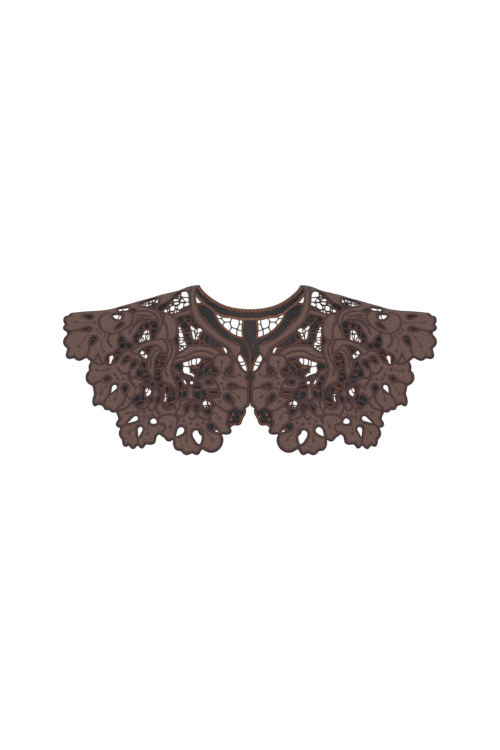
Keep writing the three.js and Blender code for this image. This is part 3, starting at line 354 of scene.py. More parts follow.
# Gaps between the motifs
gapsFront = {
    "cornerKeyhole": [
        [124.6, 170.2], [122.5, 167.2], [119.5, 167], [117.2, 169.3], [116.2, 172.9, 1],
        [119.5, 173.3], [123.4, 172.5]],
    "hemDrop": [
        [67.5, 181.6], [64.5, 182.2], [61.5, 185.2], [60.3, 189.5], [60.9, 194], [62.4, 199.3, 1],
        [66, 197], [69.3, 192], [71.4, 188], [71.5, 184.4], [69.8, 182.2]],
    "centreBean": [
        [23, 102.8], [25.5, 103.4], [28.6, 106.8], [30.2, 110.8], [28, 112.8], [24.5, 110.8],
        [22.8, 107]],
    "ridgeSlot": [[152, 28.8], [158, 29], [164.5, 30], [164.3, 32], [158, 32.3], [152.5, 31.6]],
    "bossWindow": [
        [172.3, 37, 1], [165, 36.6], [160.2, 37.3], [160.5, 40], [162.4, 43, 1], [165.4, 42.9],
        [168.3, 41.8], [170.6, 39.8]],
    "ridgeSlit": [
        [149.3, 31.4], [146.5, 30.8], [143, 32.6], [143.2, 34.2], [146, 33.8], [148.8, 33.3]],
    "ridgeNet": [
        [137.5, 24.2], [133, 22], [127, 19.6], [121, 18], [115.5, 17.8], [115.3, 20.5],
        [116.3, 25], [118, 28.8], [121.5, 28.3], [125.5, 27.6], [131, 26.6], [136, 25.8]],
    "shoulderNet": [
        [90.3, 10], [85.5, 8.2], [79.5, 8.6], [77.6, 12], [77, 20], [76.6, 28.8], [81, 31],
        [87, 32.6], [92, 34.8], [97.5, 35.8], [102.5, 34.8], [107.5, 33.8], [112.3, 32.4],
        [114.6, 29.3], [112.5, 26.8], [107.5, 24.6], [101.5, 21.4], [97.2, 17.4], [93.6, 13]],
    "neckNet": [
        [90.3, 42.2], [86, 40.2], [81, 39.6], [76, 38.2], [73, 38.2], [71.4, 42.5], [69, 47.2],
        [65.5, 51.3], [60.8, 55.6], [57.5, 60], [53.2, 64.5], [48.8, 67.8], [43, 71.6], [38.5, 75],
        [34, 77.6], [31.5, 78.4], [28.2, 85.2, 1], [31.5, 84.8], [35.5, 82.6], [39.5, 80.2],
        [44.5, 77.2], [50, 75.2], [57, 74.3], [66, 74.1], [73, 74.3], [79, 76], [80.2, 78.2],
        [83.5, 80.6], [88, 83, 1], [88.6, 79.5], [88.6, 76], [91.5, 74.3], [93.6, 70],
        [92.6, 65.8], [89.5, 63], [88.8, 57], [89.3, 51], [90.2, 46.5]],
    "fanNet": [
        [144.3, 68.5], [144, 64.5], [141.5, 60.8], [139, 57.5], [137.8, 54], [135.5, 51],
        [131, 49], [126.5, 48.2], [123.5, 46.8], [119.5, 46], [116.6, 47.5], [116.3, 53],
        [117, 58.5], [119, 63.5], [120.5, 67.5], [124.5, 67.8], [128, 69.3], [132, 70.2],
        [136.5, 71.2], [141, 72.6], [143.5, 71.4]],
    "fanFoot": [
        [161.2, 64, 1], [158.5, 67.5], [156, 71], [152.5, 73.6], [148.5, 74.6], [147.3, 77],
        [149.5, 79.3], [154, 80], [158.5, 80.2], [161.5, 78.8], [163, 75], [163, 69.5],
        [162.6, 66.5]],
    "sprayGap": [
        [179, 93.5], [178.2, 89], [175.5, 86.8], [171.5, 87.2], [168.8, 85.6], [166.6, 82],
        [163.3, 80.6], [161.6, 84], [162.2, 88.5], [165, 91.5], [167, 95.3], [169.5, 96.4],
        [172.3, 97], [175, 99.2], [177.6, 97.2]],
    "armGap": [
        [137, 84.8], [134.5, 81.4], [130.5, 79], [126, 77.4], [122.3, 77.3], [123, 80],
        [125.8, 83.8], [127.8, 88], [128, 92], [129.2, 95.3], [132, 93.5], [134.2, 90],
        [136.2, 87.4]],
    "leafGapOuter": [
        [133.2, 96], [130.4, 96.6], [130.3, 101], [130, 105], [128, 110], [126, 113.8],
        [125.4, 118], [125.3, 121.5], [126, 124.2], [129, 124.3], [130.3, 121], [132.2, 118.6],
        [135, 115.5], [139.5, 114.6], [140.6, 110], [138.8, 105.8], [136.6, 103.8], [135.8, 100.5]],
    "tulipNet": [
        [134, 126.5], [131, 125.2], [127.2, 125.3], [126.5, 128], [123.8, 128.6], [122.8, 132],
        [123.2, 136], [124.8, 138.3], [128.5, 139.6], [130.3, 141.5], [131.5, 144.5],
        [133.6, 147.6], [136, 150.8], [138.5, 151.6], [140.8, 149.2], [143.2, 147.6],
        [145.6, 144.8], [143.5, 141.5], [140, 138.6], [136.6, 138], [134.2, 137], [133, 133]],
    "leafTip": [
        [121.5, 121.6], [119.8, 124], [118.8, 128], [120.5, 129.8], [122.7, 128.5], [122.9, 124.5]],
    "leafGapInner": [
        [112.8, 86.5], [109, 85.6], [106.3, 87], [105.7, 89.8], [107.6, 93.5], [107, 98],
        [108.3, 101.3], [110.8, 104], [111.3, 108], [112.6, 111.5], [112, 116], [111.3, 119.3],
        [112.8, 121], [116, 120.3], [118.8, 116.6], [118, 111.5], [116.8, 107], [117, 101],
        [116.8, 95], [115.6, 91], [113.8, 88.8]],
    "stemNetOuter": [
        [113.8, 127], [112.6, 123.6], [109, 122.6], [105, 124.3], [101, 126.8], [98, 129],
        [95.3, 132.8], [93.3, 138], [93.6, 143], [95.2, 147.5], [97, 151.5], [100.5, 153.4],
        [104.5, 153], [107.2, 150.3], [107.4, 145.5], [106.2, 141.5], [106.4, 137.5], [108, 135],
        [111, 134.2], [113.3, 131.5]],
    "stemNetInner": [
        [92.6, 115.2], [89, 114.8], [85, 116], [82, 119], [79.4, 124.4], [79.3, 130],
        [79.4, 136.5], [81.2, 140.6], [84.8, 143], [87.8, 141], [88.4, 136], [88.3, 131],
        [87.6, 127.5], [89.3, 122.5], [91.6, 118.8]],
    "lobeNet": [
        [75.3, 120.8], [70, 120.4], [66.8, 122.8], [63, 123.6], [62, 127.5], [61, 131.6],
        [56.5, 132.8], [53.2, 134], [53.6, 137.5], [54.3, 140.5], [52.6, 143.6], [49.2, 146.3],
        [45.3, 148.8], [45.8, 151.2], [49.3, 152.5], [49.6, 157], [50, 161.6], [53.5, 161.2],
        [56.8, 157], [58.6, 152.5], [58.8, 147.5], [60.3, 144.3], [62.8, 142.6], [66.3, 141.4],
        [68.9, 137.5], [69.2, 132.5], [70.5, 127.5], [73, 124.4]],
    "archNet": [
        [93.6, 100.6], [89.5, 98.8], [85, 97.6], [80.5, 96.6], [76, 95], [71.5, 92.9], [66, 91.8],
        [60.5, 91.9], [55, 93], [50.5, 93], [47.3, 95], [46.8, 99], [45.6, 103], [41.6, 105.8],
        [40.4, 109], [42, 112.2], [47, 113], [52.5, 112.2], [58, 113], [62, 115.2], [66.5, 116],
        [69.5, 115.2], [74, 112.4], [78.5, 110.9], [83.6, 108.8], [87, 105.9], [91, 105]],
}
gapsBack = {
    "shoulderNet": [
        [58.8, 22.8, 1], [62, 19.8], [65.5, 16], [68.5, 12], [73, 8], [79, 6.6], [85, 8],
        [91, 12.5], [96.8, 17], [99.8, 21.5], [103, 26], [108, 29.5], [110.5, 32.5], [107.5, 36.5],
        [100, 38.2], [94, 37], [89, 33.5], [84, 29], [78, 26], [72, 23.8], [66.5, 22.8]],
    "neckNet": [
        [43.8, 35.4, 1], [41, 36.2], [38, 38], [34.5, 39.8], [30, 40.3], [24, 40.8], [18, 42.2],
        [9, 43.6, 1], [9.3, 48], [9.9, 52], [10, 57], [9.7, 61], [9, 65.4, 1], [13, 64.9],
        [17, 63.4], [21, 61.7], [24, 59.8], [27.5, 57], [31, 54.3], [34.5, 50.6], [37, 48],
        [39.2, 45], [41, 41.5], [42.3, 38.6]],
    "leafGapOuter": [
        [90.5, 48.5], [88.5, 50], [86.5, 54], [84.8, 58], [83.5, 63], [82, 68], [80.5, 73],
        [78.5, 78], [82, 82], [88, 84.5], [90.5, 81], [89.2, 74], [89, 66], [90.5, 60], [92.5, 54]],
    "leafGapInner": [
        [75, 50], [71.5, 51.8], [69, 54.5], [66, 54.2], [62, 53], [58.5, 54.5], [59.5, 58],
        [63, 61.2], [64.3, 65.5], [67, 68.8], [69.3, 70], [71.3, 67.5], [72.8, 63], [73.5, 58],
        [74.8, 54]],
    "ridgeNet": [
        [112, 16.8], [118, 17.2], [124, 19.2], [130, 21], [136, 23], [139, 25], [136, 27],
        [130, 27.5], [124, 25.5], [118, 23], [113, 21.5], [110.5, 19.5]],
    "ridgeSlot": [[149, 28.2], [157, 28.6], [166, 30.8], [165.5, 33.4], [157, 34.2], [150, 32.8]],
    "bossWindow": [[161.5, 38], [170, 36.8], [175, 39], [174, 44], [166.5, 45.5], [161.5, 42.5]],
    "fanGap": [
        [127, 53.5], [130, 55.5], [133.5, 58.5], [135, 63], [138, 66], [139.5, 70], [137, 73],
        [130, 73], [126, 70.5], [125.5, 64], [126, 58]],
    "armGap": [
        [138, 82], [135.5, 81], [133.3, 82.8], [132, 85], [129.5, 86.5], [127.5, 88], [128, 91.8],
        [131, 92.5], [134.5, 91], [138.5, 87]],
    "sprayGap": [
        [176, 88.5], [173.5, 87.5], [170.5, 88.5], [170.2, 91], [172, 93.5], [173.3, 96.5],
        [174, 99.5], [177, 99.5], [176.5, 95]],
    "archNet": [
        [85, 94], [78, 91.5], [70, 89], [62, 89.5], [60.5, 92.5], [62.5, 96], [65, 99.5],
        [70, 100.6], [74, 101.2], [75.8, 103.5], [74.5, 107.5], [71.5, 110.8], [69, 114],
        [70, 116], [74, 113.8], [78.5, 112], [82, 110.8], [86, 108.8], [84.5, 105], [84, 100]],
    "neckDrop": [
        [34.2, 77], [31, 76.8], [27.8, 79.5], [26.5, 84], [28, 87], [30.3, 86.5], [32, 83.2],
        [33.8, 79.8]],
    "centreNet": [
        [14.5, 86.8], [12, 87], [10, 89.8], [7.8, 93.2], [5.8, 97], [4.6, 101], [3.7, 105],
        [4, 109], [9, 107], [12.5, 101], [15.5, 94], [15.8, 89]],
    "stemGap": [
        [87, 115.8], [84.5, 116], [80, 118.5], [75, 119.8], [70.8, 120.3], [71.3, 124.2],
        [75, 126.8], [79.5, 126], [82, 123.6], [83.8, 121.3], [85.2, 118.6]],
    "tulipGap": [
        [131, 129.5], [127.5, 128.5], [124.5, 129], [123.5, 133], [125.3, 137.5], [128, 139.5],
        [131, 140.5], [132, 137], [131.8, 133]],
    "lobeNet": [
        [54, 144], [58, 145], [60.5, 148.5], [59, 152], [56.5, 153.8], [53, 153.2], [50.5, 151.2],
        [49, 148.5], [51, 145.8]],
    "stemSlot": [[99, 86], [103, 84], [104.5, 92], [103.5, 102], [101, 111], [97.5, 106], [96, 95]],
    "elbowGap": [[150, 103], [156, 99.5], [161, 103], [160, 109.5], [154, 112.5], [150, 109]],
    "centreDrop": [[6, 134], [12, 129], [17, 134], [18, 142], [13, 147], [8, 143]],
    "scrollDrop": [[33, 152], [40, 155], [42, 163], [38, 171], [32, 168], [30, 159]],
    "leafDrop": [
        [106.5, 134.3], [104.6, 137.5], [104.7, 141.5], [105.4, 144.5], [107.2, 147.2],
        [110.5, 147], [112, 141.5], [110.5, 136]],
    "bossDrop": [[176, 43], [182, 42], [185, 49], [182, 56], [177, 54], [175, 48]],
}

# Eyelets, each a round end with a point: [across, drop, radius, point across, point drop]
eyeletsFront = [
    [200.2, 39.9, 2.3, 208.5, 38.3], [202, 55.3, 2.2, 212, 56], [195.3, 67.5, 3, 200, 75.8],
    [161.5, 49.5, 2.2, 168.9, 55.3], [153.5, 92.3, 2.6, 159, 98], [144, 97, 2.9, 148, 104],
    [177.5, 117, 2.4, 184.3, 120.2], [169.4, 127.8, 3.2, 173.6, 135.2],
    [156.2, 128, 3, 155.6, 135.3], [143, 166.8, 3.2, 153.4, 172.8],
    [137.2, 180.2, 3.1, 139.4, 190.2], [86.3, 182, 4.4, 92.5, 189.3],
    [78.2, 151.8, 2.9, 78.9, 159.3], [66.7, 152.3, 3.3, 66.2, 159.6],
    [122.7, 142.6, 1.3, 125, 147.6], [114, 142, 2.2, 115.6, 148.3], [24.3, 125.9, 2.2, 15, 127.5],
    [28.2, 139.8, 3, 21.3, 149], [48.8, 177, 3.6, 38.4, 184.6], [52.6, 121.8, 2.4, 46, 121.8],
    [43.8, 136, 3, 52.5, 134.2],
]
eyeletsBack = [
    [211, 46.5, 2.6, 219.5, 44], [209, 62, 2.8, 216, 66], [86, 160.5, 3, 88, 168.5],
]
# Threads that cross the gaps of the same name
threadsFront = {
    "ridgeNet": [
        [[129.5, 20], [131.5, 26.5]],
        [[121.5, 17.8], [123.5, 28]],
        [[127, 20.5], [124, 24], [119, 23]],
        [[134.5, 23.2], [134, 26]],
        [[117, 18.5], [119, 23], [117.5, 28]],
    ],
    "ridgeSlot": [
        [[159.2, 29], [159.4, 32]],
    ],
    "bossWindow": [
        [[164.6, 36.8], [163.8, 39.6], [165.6, 42.4]],
    ],
    "fanFoot": [
        [[163, 72.8], [158.5, 71.5], [155.5, 72]],
        [[154.6, 73], [154.4, 76.5], [154.8, 80]],
    ],
    "sprayGap": [
        [[171, 87.2], [170.2, 91.5], [169.2, 96.3]],
        [[167.8, 86], [164.3, 88.2], [162.2, 88]],
    ],
    "shoulderNet": [
        [[76.3, 16], [84.5, 15.4], [86.5, 14.6], [91, 14.7], [94.2, 14.7]],
        [[86.6, 9.2], [86.6, 11.8], [86.5, 14.6]],
        [[91, 14.7], [92, 16.3]],
        [[95.9, 16.6], [92, 16.3], [89.6, 17.4], [86.1, 17.1], [84.5, 15.4]],
        [[86.1, 17.1], [87.3, 19.3], [88, 21.6]],
        [[88, 21.6], [82.1, 21.6], [76.3, 21.3]],
        [[99.7, 20.4], [96.1, 21.2], [92, 20.9], [87.3, 19.3]],
        [[96.1, 21.2], [95.6, 23.1], [95.5, 24.9]],
        [[102.8, 23.7], [98.4, 23.4], [95.6, 23.1]],
        [[90, 24.9], [88, 23.6], [88, 21.6]],
        [[105.5, 26.8], [99.7, 26.5], [95.5, 24.9], [92.8, 25.7], [90, 24.9]],
        [[82.1, 21.6], [82.9, 24.8], [82.4, 27.6], [81.8, 31.7]],
        [[76.3, 26.2], [79.4, 27.1], [82.4, 27.6]],
        [[90, 24.9], [91, 27.5], [91, 30], [91.6, 34.4]],
        [[91, 30], [87.6, 31.2], [87.3, 33.4]],
        [[87.6, 31.2], [84.9, 29.5], [82.4, 27.6]],
        [[92.8, 25.7], [93.9, 27.9], [93.1, 30.4], [91, 30]],
        [[99.7, 26.5], [100.6, 28.9], [100.2, 32.2], [99.8, 35.3]],
        [[107.5, 29.5], [103.1, 29.3], [100.6, 28.9]],
        [[103.1, 29.3], [102.8, 32.3], [103.8, 34.8]],
        [[100.2, 32.2], [97.5, 33.1], [94.7, 32.5], [93.1, 30.4]],
        [[94.7, 32.5], [95.9, 35.3]],
        [
            [89.1, 11.6], [93.1, 15.4], [96.1, 18.5], [99, 21.6], [102, 25.1], [104.7, 28.4],
            [106.9, 32]],
    ],
    "neckNet": [
        [[90, 48.3], [84, 47.6], [80.5, 46], [76, 47.6], [73, 49.5], [68.8, 47.6]],
        [[79.8, 38.8], [80.6, 42.5], [80.5, 46]],
        [[74, 38.5], [74.2, 42.5], [79.5, 43]],
        [[73.8, 43], [73.2, 46.5], [73, 49.5]],
        [[86.3, 48], [86, 55], [81.5, 56], [75, 55.5]],
        [[82.6, 48], [82, 56], [81.6, 60], [82, 66]],
        [[89, 58.8], [85.8, 59.3], [82, 58.5]],
        [[88.3, 66.2], [84, 65.8], [82, 66.5], [76, 65.3], [74, 62]],
        [[88.6, 73.4], [84.6, 72.4], [82.4, 70], [80.5, 66]],
        [[88.9, 75.4], [86.2, 75.2], [84.2, 76.2], [82.4, 75.4], [80, 74.6]],
        [[84.2, 76.2], [82.2, 79.4]],
        [[84.2, 76.2], [87.8, 79.3], [90.3, 79.6]],
        [[87.8, 79.3], [85.2, 81.6]],
        [[75, 55.5], [75.5, 60], [74, 66], [72, 70.5]],
        [[74, 58.5], [70, 58.6], [66.3, 60.8], [64.8, 60.8], [60, 58.5]],
        [[66.3, 54.2], [65.8, 57.5], [66.3, 60.8], [68.5, 67.5]],
        [[72.5, 70], [66, 69.4], [63, 68.8], [60, 69.5], [56.8, 66.5], [56.5, 62]],
        [[80, 70.5], [75, 70], [72, 70.5], [71, 74.2]],
        [[56.5, 69], [57.8, 74.2]],
        [[49.6, 69], [50.5, 75]],
        [[43, 72], [44.2, 77]],
        [[36.5, 76.8], [36, 82]],
    ],
    "fanNet": [
        [[125.8, 48.3], [125.2, 56], [125.2, 63], [124.5, 67.8]],
        [[125.4, 55], [116.4, 54.8]],
        [[125.2, 61.6], [118.5, 61.6]],
        [[133.5, 51.5], [129.5, 56], [125.8, 55.6]],
        [[137.3, 56.2], [133.2, 56.2], [131, 56.5]],
        [[139, 57.6], [138.3, 64], [134.5, 66]],
        [[144.2, 69], [138, 65.5], [134.8, 64.2]],
        [[131.5, 61.6], [127.5, 61.6]],
        [[127.8, 56.5], [128.6, 60.5], [127.3, 63.8], [129.5, 68.8]],
        [[133.8, 66.5], [132, 70]],
        [[134.4, 50.2], [133.3, 55.5], [133.6, 64]],
    ],
    "armGap": [
        [[131, 79.2], [131.5, 83], [131.3, 86.5], [128.3, 86]],
        [[132, 86.5], [130.8, 90.5]],
        [[134.6, 87.3], [133, 86.5], [131.3, 86.5]],
    ],
    "leafGapOuter": [
        [[133.8, 105.2], [134, 110.5], [134.5, 115.5]],
        [[134, 110.8], [130.5, 110.6], [127.8, 110.5]],
        [[132.5, 118.3], [129, 116.5], [126, 117.5]],
        [[136.5, 104], [133.8, 105.2], [130, 104.5]],
        [[131.5, 119.2], [127.5, 119], [125.6, 119.5]],
    ],
    "tulipNet": [
        [[136.3, 137.8], [135.8, 142], [135.4, 145.5]],
        [[143, 147.2], [138.5, 144.6], [135.2, 145.3], [132, 144.5]],
        [[131, 134.8], [128.3, 134.8], [127.5, 131.8], [126.6, 130]],
        [[130.5, 128.8], [130.9, 133], [131, 139.5]],
    ],
    "leafGapInner": [
        [[106.5, 92], [112, 93], [116.2, 91.2]],
        [[112.3, 93.5], [112.4, 98], [112.3, 101.2]],
        [[108.5, 101.3], [112.5, 101], [117, 101.2]],
        [[112, 108.6], [114.5, 108.4], [117, 108.4]],
        [[112.8, 114], [115.5, 114.3], [118.3, 114]],
    ],
    "stemNetOuter": [
        [[102.8, 125.8], [106.5, 129.2], [110.8, 131.8]],
        [[104.5, 134.6], [100.5, 133.8], [99.8, 131]],
        [[101.5, 127], [100, 133.5], [103.2, 134.6]],
        [[100.2, 134], [98.6, 138.8]],
        [[104.5, 139], [98, 138.9], [93.6, 139]],
        [[98.5, 129.5], [96.3, 138.5]],
        [[106.5, 147.6], [101, 147.6], [95.6, 147.6]],
    ],
    "stemNetInner": [
        [[89.5, 120.3], [85.8, 119.2], [84.8, 117]],
        [[85.2, 120], [83.6, 125.5], [84.8, 129.8]],
        [[88.2, 129.8], [84, 130], [79.3, 129.6]],
        [[84, 130], [84.6, 136.5], [86.5, 141.5]],
    ],
    "lobeNet": [
        [[69.2, 132.6], [64.5, 132.8], [60.8, 131.8]],
        [[61.6, 132.6], [60.8, 137.5], [61.5, 142.8]],
        [[61.5, 139.8], [57.5, 140.2], [54.4, 138.8]],
        [[59, 145.2], [55, 143.8], [52.8, 143.2]],
        [[52.3, 144.5], [52.6, 147.5], [51, 151.2]],
        [[58.5, 151], [54, 150.4], [51.2, 151]],
        [[57.8, 153.3], [53, 153.6], [49.4, 152.8]],
        [[71, 124.6], [66, 125.2], [62.6, 125]],
    ],
    "archNet": [
        [[67, 91.9], [67.2, 95.5], [66.8, 100.2]],
        [[72.6, 93.2], [73.3, 97], [72.2, 100.3]],
        [[76.2, 95.3], [76.3, 98.5], [75.9, 101.6]],
        [
            [84, 100.8], [80.5, 102], [76, 102.2], [72.3, 100.4], [66.8, 100.3], [61.5, 99.8],
            [60.8, 95.5], [61.2, 91.9]],
        [[84.6, 97.6], [84, 100.8], [84.3, 105.5], [83.6, 108.8]],
        [[72.3, 100.4], [73.8, 104.5], [74.8, 109.5]],
        [[75.2, 108.8], [73.5, 109.9], [69.5, 109]],
        [[64.2, 105.8], [65.5, 109.3], [65, 112.5]],
        [
            [73.5, 107], [69, 108.6], [65.4, 107.2], [64, 105.6], [61, 106.2], [57.5, 105.8],
            [56.8, 103], [53.5, 101.2], [48.5, 100.5]],
        [[57.5, 105.8], [57.6, 109.5], [58, 113]],
        [[48.8, 100.6], [48.6, 106], [48.2, 111.5]],
        [[64.4, 100.2], [64, 105.6]],
        [[59.8, 99.7], [56, 97.5]],
    ],
}
threadsBack = {
    "neckNet": [
        [[41.3, 41.6], [36, 41.8]],
        [[34.8, 39.9], [36, 41.8], [32, 46.3]],
        [[32, 46.3], [34.3, 49.9]],
        [[32, 46.3], [25, 45.9]],
        [[25, 45.9], [22.5, 41]],
        [[25, 45.9], [24.4, 50], [23.2, 52.7]],
        [[23.2, 52.7], [25.6, 57.4]],
        [[23.2, 52.7], [19.5, 54], [16.3, 55]],
        [[16.3, 55], [14.4, 51.8], [13.5, 48.8], [13.6, 43.3]],
        [[13.5, 48.8], [9.3, 48.9]],
        [[16.3, 55], [13, 56.8], [10, 57.4]],
        [[16.3, 55], [16.8, 63.4]],
    ],
    "shoulderNet": [
        [[76.7, 16.4], [84.9, 15.8], [86.9, 15], [91.4, 15.1], [94.6, 15.1]],
        [[87, 9.6], [87, 12.2], [86.9, 15]],
        [[91.4, 15.1], [92.4, 16.7]],
        [[96.3, 17], [92.4, 16.7], [90, 17.8], [86.5, 17.5], [84.9, 15.8]],
        [[86.5, 17.5], [87.7, 19.7], [88.4, 22]],
        [[88.4, 22], [82.5, 22], [76.7, 21.7]],
        [[100.1, 20.8], [96.5, 21.6], [92.4, 21.3], [87.7, 19.7]],
        [[96.5, 21.6], [96, 23.5], [95.9, 25.3]],
        [[103.2, 24.1], [98.8, 23.8], [96, 23.5]],
        [[90.4, 25.3], [88.4, 24], [88.4, 22]],
        [[105.9, 27.2], [100.1, 26.9], [95.9, 25.3], [93.2, 26.1], [90.4, 25.3]],
        [[82.5, 22], [83.3, 25.2], [82.8, 28], [82.2, 32.1]],
        [[76.7, 26.6], [79.8, 27.5], [82.8, 28]],
        [[90.4, 25.3], [91.4, 27.9], [91.4, 30.4], [92, 34.8]],
        [[91.4, 30.4], [88, 31.6], [87.7, 33.8]],
        [[88, 31.6], [85.3, 29.9], [82.8, 28]],
        [[93.2, 26.1], [94.3, 28.3], [93.5, 30.8], [91.4, 30.4]],
        [[100.1, 26.9], [101, 29.3], [100.6, 32.6], [100.2, 35.7]],
        [[107.9, 29.9], [103.5, 29.7], [101, 29.3]],
        [[103.5, 29.7], [103.2, 32.7], [104.2, 35.2]],
        [[100.6, 32.6], [97.9, 33.5], [95.1, 32.9], [93.5, 30.8]],
        [[95.1, 32.9], [96.3, 35.7]],
        [
            [89.5, 12], [93.5, 15.8], [96.5, 18.9], [99.4, 22], [102.4, 25.5], [105.1, 28.8],
            [107.3, 32.4]],
    ],
    "leafGapOuter": [
        [[91.5, 57], [86, 55.4]],
        [[89.2, 69], [82, 68]],
        [[89.6, 75.6], [84, 77.5], [82, 81.8]],
    ],
    "leafGapInner": [
        [[74.4, 56], [70, 57.8], [67.4, 54.4]],
        [[70, 57.8], [68.5, 63], [64, 64.5]],
        [[68.5, 63], [69, 69.8]],
    ],
    "ridgeNet": [
        [[118, 17.3], [119.6, 23.2]],
        [[128, 20.5], [126, 26.2]],
        [[119, 20.8], [127, 23.4], [137.6, 24]],
    ],
    "fanGap": [
        [[126, 60], [131, 61], [134.6, 61.4]],
        [[131, 61], [131, 72.8]],
    ],
    "archNet": [
        [[84, 101], [80.5, 102], [75.6, 102.4]],
    ],
    "centreNet": [
        [[14.4, 96.4], [10.5, 96.6], [6.2, 95.2]],
        [[12.9, 100.6], [9.5, 100.8], [4.9, 99.2]],
    ],
    "lobeNet": [
        [[54.2, 144.2], [53.4, 149.4], [55.3, 153.6]],
    ],
    "elbowGap": [
        [[150, 104], [156, 106], [160.6, 107]],
        [[156, 99.8], [156, 106], [154, 112.2]],
    ],
    "centreDrop": [
        [[6.4, 137], [12, 137.5], [17.4, 138]],
        [[12, 137.5], [12.5, 146.6]],
    ],
    "scrollDrop": [
        [[30.4, 160], [36, 161], [41.6, 160]],
        [[36, 161], [37.6, 170.6]],
    ],
    "stemSlot": [
        [[96.4, 92], [104.3, 92.5]],
        [[97, 101], [103.5, 102]],
    ],
}

